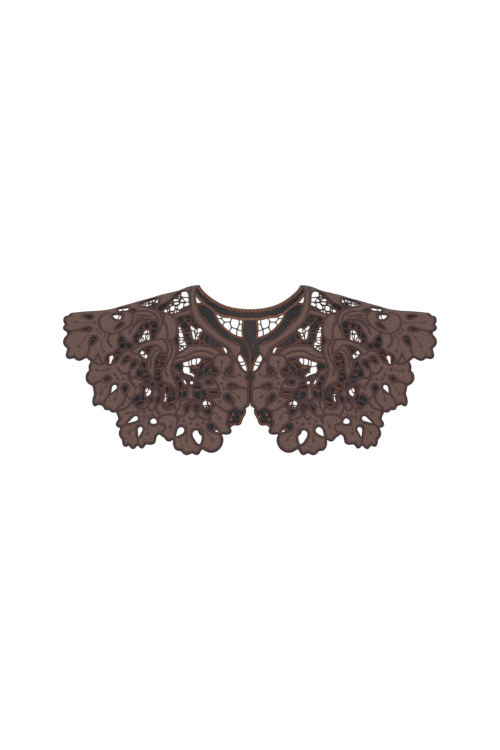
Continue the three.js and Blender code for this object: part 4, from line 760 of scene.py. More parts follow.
# Raised satin lines inside the motifs
linesFront = {
    "shoulderSpray": [
        [[225.3, 58.6], [219, 57], [213.3, 56.4]],
        [[200.6, 77], [201.6, 81.5], [203, 86], [204.4, 90.4]],
        [[198.8, 95.6], [193, 97.5], [188, 99.5], [184, 99], [181, 96.5]],
        [[190.6, 84.6], [191.4, 88.4], [193.2, 92], [195.4, 95.4]],
        [[190.6, 84.6], [188.6, 90], [186.4, 94.6], [183.4, 98]],
    ],
    "shoulderBoss": [
        [
            [149, 33.5], [146.6, 36.5], [146.2, 41], [147.6, 46], [151, 51], [156, 54.6],
            [161.5, 57.8], [167, 60], [172, 61], [176.5, 60.5], [181, 59], [186, 55.3],
            [188.7, 50], [188.8, 44.5], [186.3, 39], [181, 35.6], [172, 35.4]],
        [[174.5, 61], [177.3, 66], [177, 71.5], [174, 76.5], [169.5, 79.8]],
        [[160.5, 58], [163, 60.5], [163.8, 64]],
    ],
    "fan": [
        [
            [150, 33], [146, 34.4], [140, 33.6], [133, 32.8], [127, 33.2], [121.5, 35],
            [117.5, 38.2], [115.4, 42], [114.8, 46.5]],
        [[143.2, 38.4], [140, 37.6], [136, 37.6], [131.2, 38.4], [126, 39.2], [120.4, 39.6]],
        [[144, 43.2], [140.8, 41.6], [136.8, 40.8], [132, 40.4]],
        [
            [144.4, 46.8], [140.8, 45.2], [136.8, 43.6], [132.8, 42.8], [128, 42.8], [124, 43.2],
            [118.8, 44]],
        [
            [156, 54.3], [150.4, 51.5], [146.4, 49.6], [141.6, 47.6], [137.6, 46.2], [132, 45],
            [126, 45]],
        [[140, 48.4], [144.4, 51.6], [148, 54.8], [149.6, 58], [150.8, 62], [151.2, 65.2]],
    ],
    "upperLeaves": [
        [
            [118.5, 30.3], [113.6, 34.5], [110.4, 40], [109.5, 46], [111, 52], [113.8, 58],
            [116.5, 63.5], [118.5, 67.3]],
        [[107.8, 34.5], [107.4, 40], [107.6, 45], [105.2, 50], [103.6, 56], [103, 62], [103, 67]],
        [[99.5, 37.6], [95.5, 40.5], [92.2, 44.5]],
    ],
    "stem": [
        [
            [122, 69.2], [115, 68.2], [108, 67.8], [104, 68.2], [99, 68.8], [95.3, 71], [93, 75],
            [91.8, 79.5], [92, 84.5], [93.6, 90], [95.8, 96.3], [97.8, 102.5], [98, 108],
            [95.9, 114.3], [93.3, 120], [91, 126], [90.2, 133], [89.9, 140]],
        [
            [102.5, 70], [99, 74], [97.3, 78.5], [97.4, 83], [99, 88], [100.6, 93], [103.2, 97.5],
            [104.9, 102], [105.3, 106.5], [104, 111.5], [101, 117]],
        [[108, 69], [104.5, 73.5], [102.9, 79], [103.2, 85], [105.2, 91]],
        [[124, 75.8], [118.5, 75.4], [113.8, 77.3], [110.6, 81], [108, 84.6]],
        [[126, 70.6], [132, 72.3], [137.5, 75], [142, 78.2], [146, 81.3], [149, 83]],
        [
            [118.7, 77.6], [124, 83], [127.2, 89.9], [129, 97.3], [129.4, 103.7], [128, 111.2],
            [125.5, 118], [124, 123]],
        [[113.5, 80], [118.5, 83.5], [121.8, 88.5], [123.5, 95], [124.2, 102], [124, 108]],
        [
            [110, 82.4], [114.9, 87.7], [117.8, 94], [118.6, 100.5], [119, 108], [120.3, 115],
            [122.8, 121]],
        [[94.6, 150], [93.6, 154], [91.5, 157.5], [92.5, 161]],
        [[90, 140], [88, 145], [87, 150], [88.5, 154.5], [91, 157.5]],
    ],
    "elbowBoss": [
        [
            [161.5, 91], [160, 87], [157, 84], [153, 82], [150, 81.6], [147.6, 83.6], [145.6, 86],
            [142, 86.6], [138, 87.2], [135.8, 90], [134.6, 94.5]],
        [
            [166.5, 99.5], [164.5, 104], [161.5, 108.8], [157.5, 111], [153.5, 110.7],
            [150.6, 108], [149.4, 103.5]],
        [[149.5, 108.5], [149.8, 112.5], [148, 115.8], [143, 116.2], [137, 116.2], [133, 118]],
        [
            [152.5, 111.5], [150.5, 116], [148.6, 120.3], [146.3, 124.3], [143.5, 127],
            [140.2, 128.8]],
        [
            [154.5, 132], [153.8, 137], [151.8, 141.3], [148.8, 142.6], [146, 141], [144.6, 137.8],
            [142.5, 136.2], [139, 136.2], [136, 136.3], [134.9, 134], [136.3, 129.5],
            [138.5, 125.5], [137.5, 123.8], [133.5, 123.8], [131, 122.5]],
    ],
    "sideSpray": [
        [[196.8, 126], [193, 122.5], [189, 120.8], [185, 120.6]],
        [[174.5, 136], [177.6, 139], [180.2, 143.5], [182.4, 147.5], [184, 151]],
        [
            [155.8, 136], [156.3, 140], [157, 145.5], [160, 149.5], [164, 152], [165.5, 156],
            [167.5, 158.6]],
        [[167, 159], [162, 156.5], [156, 155], [152, 152.5], [150, 148.5], [147, 146.4]],
    ],
    "cornerSpray": [
        [[153.8, 173], [157, 175.5], [161.5, 178.5]],
        [[139.5, 190.5], [139.9, 195.5], [140.3, 200]],
        [
            [116.5, 173.8], [111, 173.3], [107, 175], [105.3, 178.5], [107.2, 181.5],
            [110.5, 184.2], [114, 186.6]],
    ],
    "cornerTulip": [
        [
            [141.5, 152.8], [138, 155], [134, 155.6], [130.5, 154.4], [128.3, 151.5],
            [127.2, 147.5], [127.6, 143.5], [129, 141.2]],
        [
            [126.6, 147.5], [127, 151], [126.6, 154.5], [124.5, 157], [121.5, 157], [119.3, 154.5],
            [118, 150], [117.9, 146], [119, 141.5]],
        [[117.4, 148.5], [116.8, 153], [115.8, 157.5], [113.5, 161], [110.5, 163]],
    ],
    "hemTulip": [
        [
            [88, 147], [85, 144.3], [80.5, 142.8], [76.3, 143.8], [73, 146.6], [69.8, 144],
            [66, 143.2]],
        [[76.3, 161.5], [76, 165], [72, 168.3], [68.3, 165.2], [68, 161.5]],
        [[79.5, 161.5], [84, 164], [88.5, 164], [92, 162.6], [92.6, 159.5]],
        [[66, 162], [63.5, 164.5], [59.5, 166.5], [54.5, 168.3], [50.3, 168]],
        [[79, 139], [77.6, 142], [75, 143.2], [71, 142.6], [69.5, 140]],
    ],
    "hemSpray": [
        [
            [116.5, 168], [113.5, 166.3], [110, 164], [106, 162.3], [101, 161.8], [95.5, 162.3],
            [91.5, 164.3], [90, 168], [90.7, 172.5], [93, 177.5]],
        [[92.7, 190], [94.3, 191.6], [96, 193.3]],
        [[62.3, 199.8], [61.3, 202.3], [60, 205]],
        [[50, 163], [49.6, 166.5], [50.2, 171]],
        [[33.2, 170.3], [30.5, 172.5], [27.5, 172.6]],
    ],
    "centreSpray": [
        [
            [50.5, 142.8], [46.7, 146], [43.5, 148.3], [40, 151], [37.3, 153.6], [34, 155.9],
            [30.3, 157.2], [26.5, 158.2]],
        [[20.8, 149.8], [20, 152], [18.8, 154.6]],
        [[20, 146], [20.2, 141], [20.6, 137]],
        [[14, 127.8], [9, 128.9], [2.6, 129.5]],
        [
            [45, 94], [43.5, 89.8], [39.5, 87.4], [34, 87.6], [29, 87], [25.5, 88.8], [23, 92.5],
            [22.8, 96.5], [25.2, 102.6]],
        [[24.5, 91], [21.5, 94], [17.5, 95.2], [14, 94.5]],
        [[23, 103.2], [21, 97.5], [19.5, 95]],
        [[28.5, 114], [24, 113.5], [20.5, 114.5], [14, 116]],
    ],
    "archLeaf": [
        [
            [94.5, 92.3], [87, 91], [81, 89.8], [76, 87.6], [71.5, 84.6], [67, 82.8], [60.3, 82.6],
            [54.4, 83.2], [49.5, 84.8], [45.5, 87.6]],
        [[88.8, 84.5], [91, 87.5], [93.2, 90.5]],
        [
            [97.6, 106.5], [94, 110.5], [89.5, 113.3], [83.5, 115], [77, 117.6], [70, 119],
            [64, 120.8]],
    ],
    "centreBoss": [
        [
            [61.5, 120], [59.6, 116.5], [56, 114.4], [51.5, 113.8], [47.5, 115.6], [43.8, 119],
            [41.3, 123], [39.3, 127.5], [38.3, 132], [38.5, 137], [41, 140.2], [45.5, 141.2],
            [50.5, 142.3]],
        [[61.3, 130], [56, 130.8], [50, 130.6], [44, 130.4], [39.2, 129.4]],
    ],
}
linesBack = {
    "motifs": [
        [[187, 28], [185, 38.5], [178, 42.8], [177.5, 46]],
        [[180, 53], [178, 60], [176.5, 70], [175.5, 80], [173, 91]],
        [[175.2, 96.5], [184, 95.8], [189, 92.4], [193, 90]],
        [[174.5, 97], [170, 104], [164, 107.2], [157, 106]],
        [[157, 108], [159.5, 113.5], [163, 117], [168, 118.5]],
        [[153, 108], [148, 114.5], [141, 119.5], [134, 124], [128, 132]],
        [[128.5, 136], [124.5, 146.8], [118, 151], [112.5, 153.8], [109, 156]],
        [
            [112.5, 153.8], [106, 150], [98, 146], [90, 143], [82, 141.4], [74, 141.4], [66, 143],
            [57, 149]],
        [[53, 151], [46, 158], [37, 162]],
        [[36, 166], [34, 172], [33, 176]],
        [[35, 156], [28, 149.5], [22, 145], [14, 140]],
        [[10, 138], [4, 137.4], [-2, 137.4]],
        [[92, 34], [91, 42], [89.8, 53]],
        [[88, 60], [81, 59.5], [71.5, 57]],
        [[69, 61], [60, 70.5], [50, 75.5], [42, 78.4], [31, 81]],
        [[28, 81], [19, 84], [12, 89]],
        [[87, 78], [95, 82], [101, 83], [101, 88]],
        [[102, 90], [112, 85.8], [121, 85.2], [132.5, 88]],
        [[135, 86], [146, 87.6], [158, 86], [167, 87.6], [174, 92]],
        [[65, 62], [63.5, 70], [64, 80], [67, 92]],
        [[76, 110], [77.5, 120]],
        [[77, 124], [78, 135], [77, 141.4]],
    ],
    "leafRibs": [
        [[86, 38], [83, 42], [79.5, 46.5], [75, 50.5]],
        [[104, 86], [110, 87.2], [116, 88.8]],
        [[106, 97], [112, 94.6], [119, 93.4]],
        [[107, 106.4], [113, 104.6], [120, 103.4]],
        [[131, 101.6], [137, 104], [139, 110]],
        [[122, 46], [124.4, 50], [124, 57]],
        [[134, 48], [132.6, 54], [136, 60]],
        [[99, 118.6], [107, 120.8], [116, 124.2]],
        [[97, 124], [104, 125.6], [112, 129]],
        [[103, 132.6], [109, 131], [116, 127.4]],
    ],
    "bossRibs": [
        [[79, 130.6], [84, 132], [91, 134]],
        [[57, 129], [64, 131.2], [73, 130.4]],
        [[61, 102.4], [67, 103.6], [74, 102.8]],
        [[60, 97.4], [57, 95], [53, 92.6]],
        [[54, 100], [50.5, 96.6], [46, 93]],
        [[53, 110.4], [51, 107.6], [49, 103.4]],
        [[46.6, 111], [43, 109], [40, 109.6]],
    ],
}
# Cords round the leaf inside the back of the neck
rimsBack = {
    "neckLeaf": [
        [[9, 65.4], [7, 69], [4.4, 73.4], [2, 78], [1, 83], [0.9, 95], [0.9, 108]],
        [
            [63, 37], [59.4, 39], [56.6, 41], [53, 45.4], [50, 48.8], [44.4, 54.7], [39, 60],
            [33.3, 64.7], [28.5, 67.4], [23.4, 69.6], [16, 72.6], [11, 75]],
    ],
}

# Thin veins of the lobes, and the knots beside them
veinsFront = [
    [[203, 62], [207, 67], [211.5, 73], [214, 77]],
    [[196, 48], [207, 47.5], [217, 46.6]],
    [[185, 66], [186, 75], [183.4, 82]],
    [[176, 123], [182, 129], [186.5, 135.5]],
    [[163, 127], [166.5, 135], [168.2, 142.5]],
    [[176.8, 104.8], [184, 107.6], [190.8, 107]],
    [[64, 174], [57, 182], [50, 189], [46.8, 193]],
    [[79.6, 172], [79, 184], [79, 193.6]],
    [[128, 164.5], [137, 172], [146, 180], [150, 184]],
    [[124.5, 165], [127, 175], [127.5, 185.2]],
    [[134, 158.5], [143, 158.6], [151.6, 159.8]],
    [[31, 121], [23, 115.5], [13.5, 112.6]],
    [[31, 128], [23, 133.5], [14.5, 139.4]],
    [[34, 132], [37, 139], [37.4, 144.8]],
    [[33.5, 113], [35.6, 105], [35.6, 97.2]],
    [[46, 158], [41, 162.5], [38.3, 166]],
    [[160, 120], [162, 119], [165, 117.6]],
    [[95, 170], [97.5, 173.5], [98.8, 176.8]],
    [[143.8, 121], [144, 125.5], [143.2, 129.4]],
]
knotsFront = [
    [218, 46.5], [214, 77], [183, 83], [194, 47.5], [191.5, 56.5], [187.5, 60.5], [181.5, 64.5],
    [168.5, 112], [165.5, 117], [158, 117.5], [152, 118], [176.5, 105.5], [191.5, 107],
    [187, 136.5], [168.5, 143.5], [152.5, 160], [150.5, 184.5], [127.5, 186], [132, 158.6],
    [132, 164], [127, 164.3], [121.4, 162], [161.5, 166.3], [35.5, 96.3], [12.5, 112.3],
    [33, 116.4], [35.2, 123.3], [33, 129.2], [13.8, 139.9], [37.3, 145.5], [37.8, 166.7],
    [79, 194.5], [46.5, 193.5], [88.5, 168.8], [81.8, 170.3], [74, 173], [66, 174], [58.7, 172.3],
    [99, 177.5], [143, 130],
]
veinsBack = [
    [[188, 60], [199, 67], [209, 73]],
    [[184, 66], [189, 76], [193, 84]],
    [[176, 103], [183, 106], [189, 107]],
    [[168, 109], [172, 113.5], [174, 116.5]],
    [[146, 125], [153, 131], [158, 134]],
    [[138, 129], [147, 141], [154, 149]],
    [[131, 141], [136, 150], [138.6, 157]],
    [[119, 153], [119.5, 158]],
    [[100, 151], [101, 159], [101, 165]],
    [[68, 148], [68, 163], [67, 174]],
    [[56, 158], [57, 171], [57.6, 182]],
    [[46, 164], [45, 172], [44, 178]],
    [[26, 152], [26, 162], [26, 172]],
    [[14, 150], [13, 160], [13.4, 169]],
    [[120, 62], [135, 70], [149, 77]],
    [[118, 44], [138, 50], [153, 62]],
    [[96, 44], [108, 54], [116, 70]],
    [[168, 52], [171, 62], [171, 76]],
    [[52, 88], [44, 98], [40, 112]],
    [[60, 126], [56, 134], [48, 139]],
    [[112, 100], [120, 112], [121, 124]],
    [[138, 96], [134, 106], [124, 114]],
    [[26, 104], [22, 116], [20, 128]],
]
# Copper satin on the inner face of the back that shows through the eyelets of the front
glimpses = [
    [[203.4, 52.4], [200.8, 55.6]],
    [[166.4, 48.4], [161, 49.3]],
    [[199.4, 65.6], [195, 67]],
    [[166.4, 82], [162.5, 83]],
    [[159, 78.6], [155, 76.4]],
    [[157.6, 91.4], [153.6, 92.3]],
    [[146.4, 95.4], [142.6, 94.4]],
    [[136, 101], [133, 104]],
    [[128.6, 79.2], [123.4, 78.6]],
    [[113, 89], [107, 86.4]],
    [[112, 95], [108.6, 94.2]],
    [[116.4, 99.8], [114.8, 96.4]],
    [[117, 103.6], [111.6, 103]],
    [[125.6, 48.8], [122.2, 47.4]],
    [[133, 91.4], [130, 93.6]],
    [[73.6, 102.8], [66.4, 102.2]],
    [[57.6, 95.2], [54, 94.4]],
    [[56, 99.6], [49.4, 95]],
    [[60.4, 105], [55, 100.4]],
    [[53.6, 110], [51.4, 106]],
    [[47.4, 110.6], [42.6, 109]],
    [[29.8, 109.4], [26.6, 112]],
    [[23, 126], [17.6, 127.6]],
    [[49.4, 118.8], [49.6, 122.4]],
    [[159, 125.4], [155.6, 125.2]],
    [[133.6, 113], [130.6, 112]],
    [[130, 125.6], [127.6, 128.8]],
    [[130.6, 140.4], [131.4, 144], [134.4, 147.6], [139, 151]],
    [[114.2, 123.4], [111.8, 121.4]],
    [[109.6, 123.8], [104.4, 125.4]],
    [[111, 132.6], [106.4, 133.8]],
    [[107, 150.4], [104.4, 152.2], [101, 152.4], [98, 150.6]],
    [[84.2, 127], [81.8, 125.4]],
    [[87, 132], [82.8, 130.6]],
    [[69, 130.2], [62.8, 131.4]],
    [[49, 135.6], [42.4, 137]],
    [[81.8, 152], [78.8, 149.2]],
]
knotsBack = [
    [222, 59], [213, 76], [195, 83], [191, 109], [176, 118], [159.5, 137], [155.6, 150],
    [134, 151], [119.5, 160], [101, 167], [67, 176], [62, 168], [57.8, 184], [44, 180], [30, 170],
    [21, 162], [11, 165], [24, 168], [150, 79], [154, 64], [116, 73], [171, 79], [39.6, 115],
    [47, 140.5], [121, 127], [122.6, 116], [19.6, 131],
]


# Linear light of an 8-bit colour value
def linear(value):
    value /= 255
    return value / 12.92 if value <= 0.04045 else ((value + 0.055) / 1.055) ** 2.4


def tone(red, green, blue):
    return (linear(red), linear(green), linear(blue), 1.0)


def newMaterial(name, roughness, specular=0.3, sheen=0.0):
    material = bpy.data.materials.new(name)
    material.use_nodes = True
    shader = material.node_tree.nodes["Principled BSDF"]
    shader.inputs["Roughness"].default_value = roughness
    shader.inputs["Specular IOR Level"].default_value = specular
    shader.inputs["Sheen Weight"].default_value = sheen
    shader.inputs["Sheen Roughness"].default_value = 0.6
    return material, material.node_tree.nodes, material.node_tree.links, shader


# A shader node with its properties and its inputs set by name
def addNode(nodes, kind, **values):
    node = nodes.new(kind)
    for name, value in values.items():
        if hasattr(node, name):
            setattr(node, name, value)
        else:
            node.inputs[name.replace("_", " ")].default_value = value
    return node


# Mixes two colours by a share
def mixed(nodes, links, share, first, second):
    node = addNode(nodes, "ShaderNodeMix", data_type="RGBA")
    for number, value in ((0, share), (6, first), (7, second)):
        socket = node.inputs[number]
        if isinstance(value, (tuple, float)):
            socket.default_value = value
        else:
            links.new(value, socket)
    return node.outputs[2]


# Turns a value into a share between two ends
def ranged(nodes, links, value, **ends):
    node = addNode(nodes, "ShaderNodeMapRange", **ends)
    links.new(value, node.inputs["Value"])
    return node.outputs[0]


def addBump(nodes, links, shader, height, strength, depth):
    bump = addNode(nodes, "ShaderNodeBump", Strength=strength, Distance=depth)
    links.new(height, bump.inputs["Height"])
    links.new(bump.outputs[0], shader.inputs["Normal"])


# Woven cloth: two crossing yarns in flat millimetres, with worn flecks and cloudy dye
# middle: painted light, a paler colour on the inside towards the middle of the back, where the
# light falls straight on it
cloths = {
    "brownCloth": {
        "yarn": (92, 71, 65), "between": (60, 43, 39), "fleck": (114, 91, 86),
        "cloud": (78, 58, 53)},
    "charcoalCloth": {
        "yarn": (42, 42, 44), "between": (24, 23, 25), "fleck": (86, 81, 82),
        "cloud": (29, 28, 30), "middle": (68, 64, 66)},
}


def clothMaterial(name):
    look = cloths[name]
    material, nodes, links, shader = newMaterial(name, 0.9, specular=0.1, sheen=0.02)
    place = addNode(nodes, "ShaderNodeUVMap", uv_map="flatCloth")
    warp, weft = [
        addNode(nodes, "ShaderNodeTexWave", bands_direction=along, Scale=0.52, Distortion=0.7,
                Detail=1.0)
        for along in "XY"]
    cloud = addNode(nodes, "ShaderNodeTexNoise", Scale=0.09, Detail=3.0)
    fleck = addNode(nodes, "ShaderNodeTexNoise", Scale=0.6, Detail=3.0)
    for texture in (warp, weft, cloud, fleck):
        links.new(place.outputs[0], texture.inputs["Vector"])
    weave = addNode(nodes, "ShaderNodeMath", operation="MAXIMUM")
    links.new(warp.outputs["Fac"], weave.inputs[0])
    links.new(weft.outputs["Fac"], weave.inputs[1])
    colour = mixed(nodes, links, weave.outputs[0], tone(*look["between"]), tone(*look["yarn"]))
    share = ranged(nodes, links, cloud.outputs["Fac"], From_Min=0.4, From_Max=0.65, To_Max=0.6)
    colour = mixed(nodes, links, share, colour, tone(*look["cloud"]))
    if "middle" in look:
        # Painted light: distance from a line that runs straight back 45 mm under the neck corners,
        # where the inside is painted paler
        solid = nodes.new("ShaderNodeTexCoord")
        flat = addNode(nodes, "ShaderNodeVectorMath", operation="MULTIPLY_ADD")
        flat.inputs[1].default_value = (1, 0, 1)
        flat.inputs[2].default_value = (0, 0, 0.045)
        links.new(solid.outputs["Object"], flat.inputs[0])
        far = addNode(nodes, "ShaderNodeVectorMath", operation="LENGTH")
        links.new(flat.outputs[0], far.inputs[0])
        share = ranged(nodes, links, far.outputs["Value"], From_Min=0.1, From_Max=0.02, To_Max=0.5)
        colour = mixed(nodes, links, share, colour, tone(*look["middle"]))
    share = ranged(nodes, links, fleck.outputs["Fac"], From_Min=0.5, From_Max=0.7, To_Max=0.85)
    colour = mixed(nodes, links, share, colour, tone(*look["fleck"]))
    links.new(colour, shader.inputs["Base Color"])
    addBump(nodes, links, shader, weave.outputs[0], strength=0.5, depth=0.0002)
    return material


wavePeriod = 0.31  # mm between the bands of a wave texture at a scale of 1

# Satin stitch: threads side by side across the line, lit with painted light on the crown and
# darkened with painted shade on the flanks where they dive into the cloth; thread: mm from one
# thread to the next
satins = {
    "plumSatin": {"litCrown": (70, 48, 47), "shadedFlank": (36, 21, 24), "thread": 0.55, "roughness": 0.62},
    # painted shade for the outer edge of the hem, a darker copy of the plum satin
    "shadedSatin": {"litCrown": (34, 20, 23), "shadedFlank": (26, 15, 18), "thread": 0.55, "roughness": 0.65},
    "copperSatin": {"litCrown": (132, 84, 61), "shadedFlank": (50, 30, 26), "thread": 0.6, "roughness": 0.6},
    "bandCopper": {"litCrown": (152, 109, 90), "shadedFlank": (88, 60, 51), "thread": 0.6, "roughness": 0.6},
    "netPlum": {"litCrown": (78, 55, 54), "shadedFlank": (48, 30, 32), "thread": 0.8, "roughness": 0.7},
    "netCopper": {"litCrown": (92, 62, 52), "shadedFlank": (48, 32, 30), "thread": 0.8, "roughness": 0.7},
}


def satinMaterial(name):
    look = satins[name]
    material, nodes, links, shader = newMaterial(
        name, look["roughness"], specular=0.13, sheen=0.02)
    place = addNode(nodes, "ShaderNodeUVMap", uv_map="flatCloth")
    split = nodes.new("ShaderNodeSeparateXYZ")
    links.new(place.outputs[0], split.inputs[0])
    # The flat map's second value is the share of painted shade: 0 on the crown, 1 at the flanks
    height = addNode(nodes, "ShaderNodeMath", operation="ABSOLUTE")
    links.new(split.outputs["Y"], height.inputs[0])
    litCrown = ranged(nodes, links, height.outputs[0], interpolation_type="SMOOTHSTEP",
                   From_Min=0.9, From_Max=0.15)
    thread = addNode(
        nodes, "ShaderNodeTexWave", bands_direction="X", Scale=wavePeriod / look["thread"],
        Distortion=0.5, Detail=1.0)
    worn = addNode(nodes, "ShaderNodeTexNoise", Scale=0.35, Detail=3.0)
    for texture in (thread, worn):
        links.new(place.outputs[0], texture.inputs["Vector"])
    # Painted light on the crown, painted shade on the flanks
    colour = mixed(nodes, links, litCrown, tone(*look["shadedFlank"]), tone(*look["litCrown"]))
    share = ranged(nodes, links, worn.outputs["Fac"], From_Min=0.45, From_Max=0.75, To_Max=0.4)
    colour = mixed(nodes, links, share, colour, tone(*look["shadedFlank"]))
    share = ranged(nodes, links, thread.outputs["Fac"], From_Min=0.0, From_Max=0.5, To_Min=0.32,
                   To_Max=0.0)
    colour = mixed(nodes, links, share, colour, tone(*look["shadedFlank"]))
    links.new(colour, shader.inputs["Base Color"])
    addBump(nodes, links, shader, thread.outputs["Fac"], strength=0.4, depth=0.0002)
    return material


materials = {name: clothMaterial(name) for name in cloths}
materials.update({name: satinMaterial(name) for name in satins})
print("materials made")


# A mesh in the making: points in mm, and faces with their material slot and place on the flat map
def newBuild(*slots):
    return {"places": [], "faces": [], "slots": [], "map": [], "materials": slots}


def finished(name, build):
    mesh = bpy.data.meshes.new(name)
    mesh.from_pydata([p * mm for p in build["places"]], [], build["faces"])
    for kind in build["materials"]:
        mesh.materials.append(materials[kind])
    mesh.polygons.foreach_set("material_index", build["slots"])
    mesh.polygons.foreach_set("use_smooth", [True] * len(mesh.polygons))
    layer = mesh.uv_layers.new(name="flatCloth")
    layer.data.foreach_set("uv", [c for corners in build["map"] for uv in corners for c in uv])
    mesh.validate()
    mesh.update()
    piece = bpy.data.objects.new(name, mesh)
    bpy.context.scene.collection.objects.link(piece)
    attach(piece, "root")
    return piece


# Adds a face, turned over where its piece is mirrored
def addFace(build, corners, slot, places, flip):
    if flip:
        corners, places = corners[::-1], places[::-1]
    build["faces"].append(tuple(corners))
    build["slots"].append(slot)
    build["map"].append(places)


cord = {
    "endSwell": 0.35,   # share of the width at a round end
    "fadeSwell": 0.3,   # share of it where a fading end starts
    "webSwell": 0.85,   # share of it along a bare thread
    "webFoot": 0.5,     # what a bare thread gains at its ends
    "webReach": 0.9,    # mm over which it gains that
    "tallest": 1.5,     # most that its height gains
    "darkSlot": 2,
    "darkCosine": 0.2,  # how far to the side its edge of painted shade starts
    "capMap": 0.9,      # how much painted shade its ends take
}


# A thread or satin roll along a flat line, raised on both faces of the cloth
# shade: how far painted shade darkens the crown, and glow: how far painted shade may darken the
# flanks, both from 0 to 1
# darkSide: 1 or -1 for an edge of painted shade on that side, from darkFrom on, in mm from
# the middle
def addCord(build, line, width, rise, sink, closed=False, ends="round", slots=(0, 1),
            sides=(1, -1), lift=0.0, facets=10, shade=0.0, glow=1.0, darkSide=0, darkFrom=0.0,
            fades=(0, 0)):
    if len(line) < 2:
        return
    across = sideDirections(line, closed)
    isWhole = [abs(line[i][0]) < middleReach for i in (0, -1)]
    count = len(line)
    reach = distancesAlong(line)
    for side in sides:
        first = len(build["places"])
        for i, (point, turn) in enumerate(zip(line, across)):
            here, sideways, backwards, outward = clothFrame(side * point[0], point[1])
            lateral = (sideways * turn[0] * side + backwards * turn[1]).normalized()
            near = min(math.inf if isWhole[0] else reach[i],
                       math.inf if isWhole[1] else reach[-1] - reach[i])
            if i in (0, count - 1) and isWhole[0 if i == 0 else 1] and not closed:
                lateral = backwards.normalized() * (1 if lateral.dot(backwards) > 0 else -1)
            swell = 1.0
            if not closed and ends == "round" and near < width / 2:
                swell = max(cord["endSwell"], math.sqrt(1 - (1 - 2 * near / width) ** 2))
            for fade, distance in zip(fades, (reach[i], reach[-1] - reach[i])):
                if fade:
                    gain = (1 - cord["fadeSwell"]) * min(1.0, distance / fade)
                    swell *= cord["fadeSwell"] + gain
            if not closed and ends == "web":
                swell = cord["webSwell"] + cord["webFoot"] * math.exp(-near / cord["webReach"])
            for k in range(facets):
                angle = 2 * math.pi * k / facets
                tall = rise if math.sin(angle) > 0 else sink
                height = math.sin(angle) * tall * min(swell, cord["tallest"]) + lift
                aside = math.cos(angle) * width / 2 * swell
                build["places"].append(here + lateral * aside + outward * height)
        for i in range(count if closed else count - 1):
            j = (i + 1) % count
            start = reach[i]
            stop = reach[i + 1] if i + 1 < count else reach[i] + math.dist(line[i], line[0])
            for k in range(facets):
                m = (k + 1) % facets
                # Share of painted shade on the flat map: 0 on the crown, 1 at the flanks
                tops = [math.cos(2 * math.pi * n / facets) for n in (k, k + 1)]
                isDark = darkSide and min(top * darkSide for top in tops) > cord["darkCosine"]
                isDark = isDark and abs(line[i][0]) >= darkFrom
                tops = [math.copysign(min(max(abs(top), shade), glow), top) for top in tops]
                corners = [first + i * facets + k, first + j * facets + k,
                           first + j * facets + m, first + i * facets + m]
                places = [(start, tops[0]), (stop, tops[0]), (stop, tops[1]), (start, tops[1])]
                slot = cord["darkSlot"] if isDark else slots[0] if k < facets / 2 else slots[1]
                addFace(build, corners, slot, places, side < 0)
        if not closed:
            for i, flip in ((0, side < 0), (count - 1, side > 0)):
                corners = [first + i * facets + k for k in range(facets)]
                addFace(build, corners, slots[0], [(0.0, cord["capMap"])] * facets, flip)


dot = {
    "tip": 0.03,     # share of the radius at its top
    "palest": 0.62,  # how much painted shade its top takes, from 0 to 1
    "thread": 0.6,   # mm of the flat map on each of its faces
}


# A round stitched dot on both faces of the cloth, with painted light on its top and painted shade
# towards its rim; dark scales that shade
def addKnot(build, point, radius, rise, sink, sides=(1, -1), around=10, levels=3, dark=1.0):
    for side in sides:
        here, sideways, backwards, outward = clothFrame(side * point[0], point[1])
        first = len(build["places"])
        for level in range(-levels, levels + 1):
            lean = math.pi / 2 * level / levels
            ring = max(dot["tip"], math.cos(lean)) * radius
            height = math.sin(lean) * (rise if level > 0 else sink)
            for k in range(around):
                turn = 2 * math.pi * k / around
                spread = (math.cos(turn) * sideways.normalized()
                          + math.sin(turn) * backwards.normalized())
                build["places"].append(here + spread * ring + outward * height)
        for level in range(2 * levels):
            leans = [math.pi / 2 * (level + d - levels) / levels for d in (0, 1)]
            rims = [dark * max(dot["palest"], math.cos(lean)) for lean in leans]
            slot = 0 if level >= levels else 1
            low, high = first + level * around, first + (level + 1) * around
            for k in range(around):
                m = (k + 1) % around
                corners = [low + k, low + m, high + m, high + k]
                start = k * dot["thread"]
                stop = start + dot["thread"]
                spots = [(start, rims[0]), (stop, rims[0]), (stop, rims[1]), (start, rims[1])]
                addFace(build, corners, slot, spots, False)
        for start, slot in ((first, 1), (first + 2 * levels * around, 0)):
            corners = [start + k for k in range(around)]
            addFace(build, corners, slot, [(0.0, dot["palest"] * dark)] * around, slot == 1)


# Which of the points lie inside a ring
def within(points, ring):
    x, y = points[:, 0], points[:, 1]
    inside = np.zeros(len(points), bool)
    for (ax, ay), (bx, by) in zip(ring, ring[1:] + ring[:1]):
        if ay != by:
            inside ^= ((ay > y) != (by > y)) & (x < (bx - ax) * (y - ay) / (by - ay) + ax)
    return inside


cloth = {
    "half": 0.6,         # mm from the middle of the cloth to each face
    "hidden": 1.0,       # mm from a cut edge to the cloth's own edge, under the satin
    "grid": 4.0,         # mm between points inside the cloth
    "rowShare": 0.87,    # distance between the grid's rows, as a share of the grid
    "clearShare": 0.45,  # what the grid keeps clear of the edges, as a share of it
    "weld": 1e-4,        # mm
    "middle": 1e-3,      # mm, where the two halves share their points
}


# Which of the points lie inside an outline and outside its holes
def onSheet(points, outline, holes):
    keep = within(points, outline)
    for hole in holes:
        keep &= ~within(points, hole)
    return keep


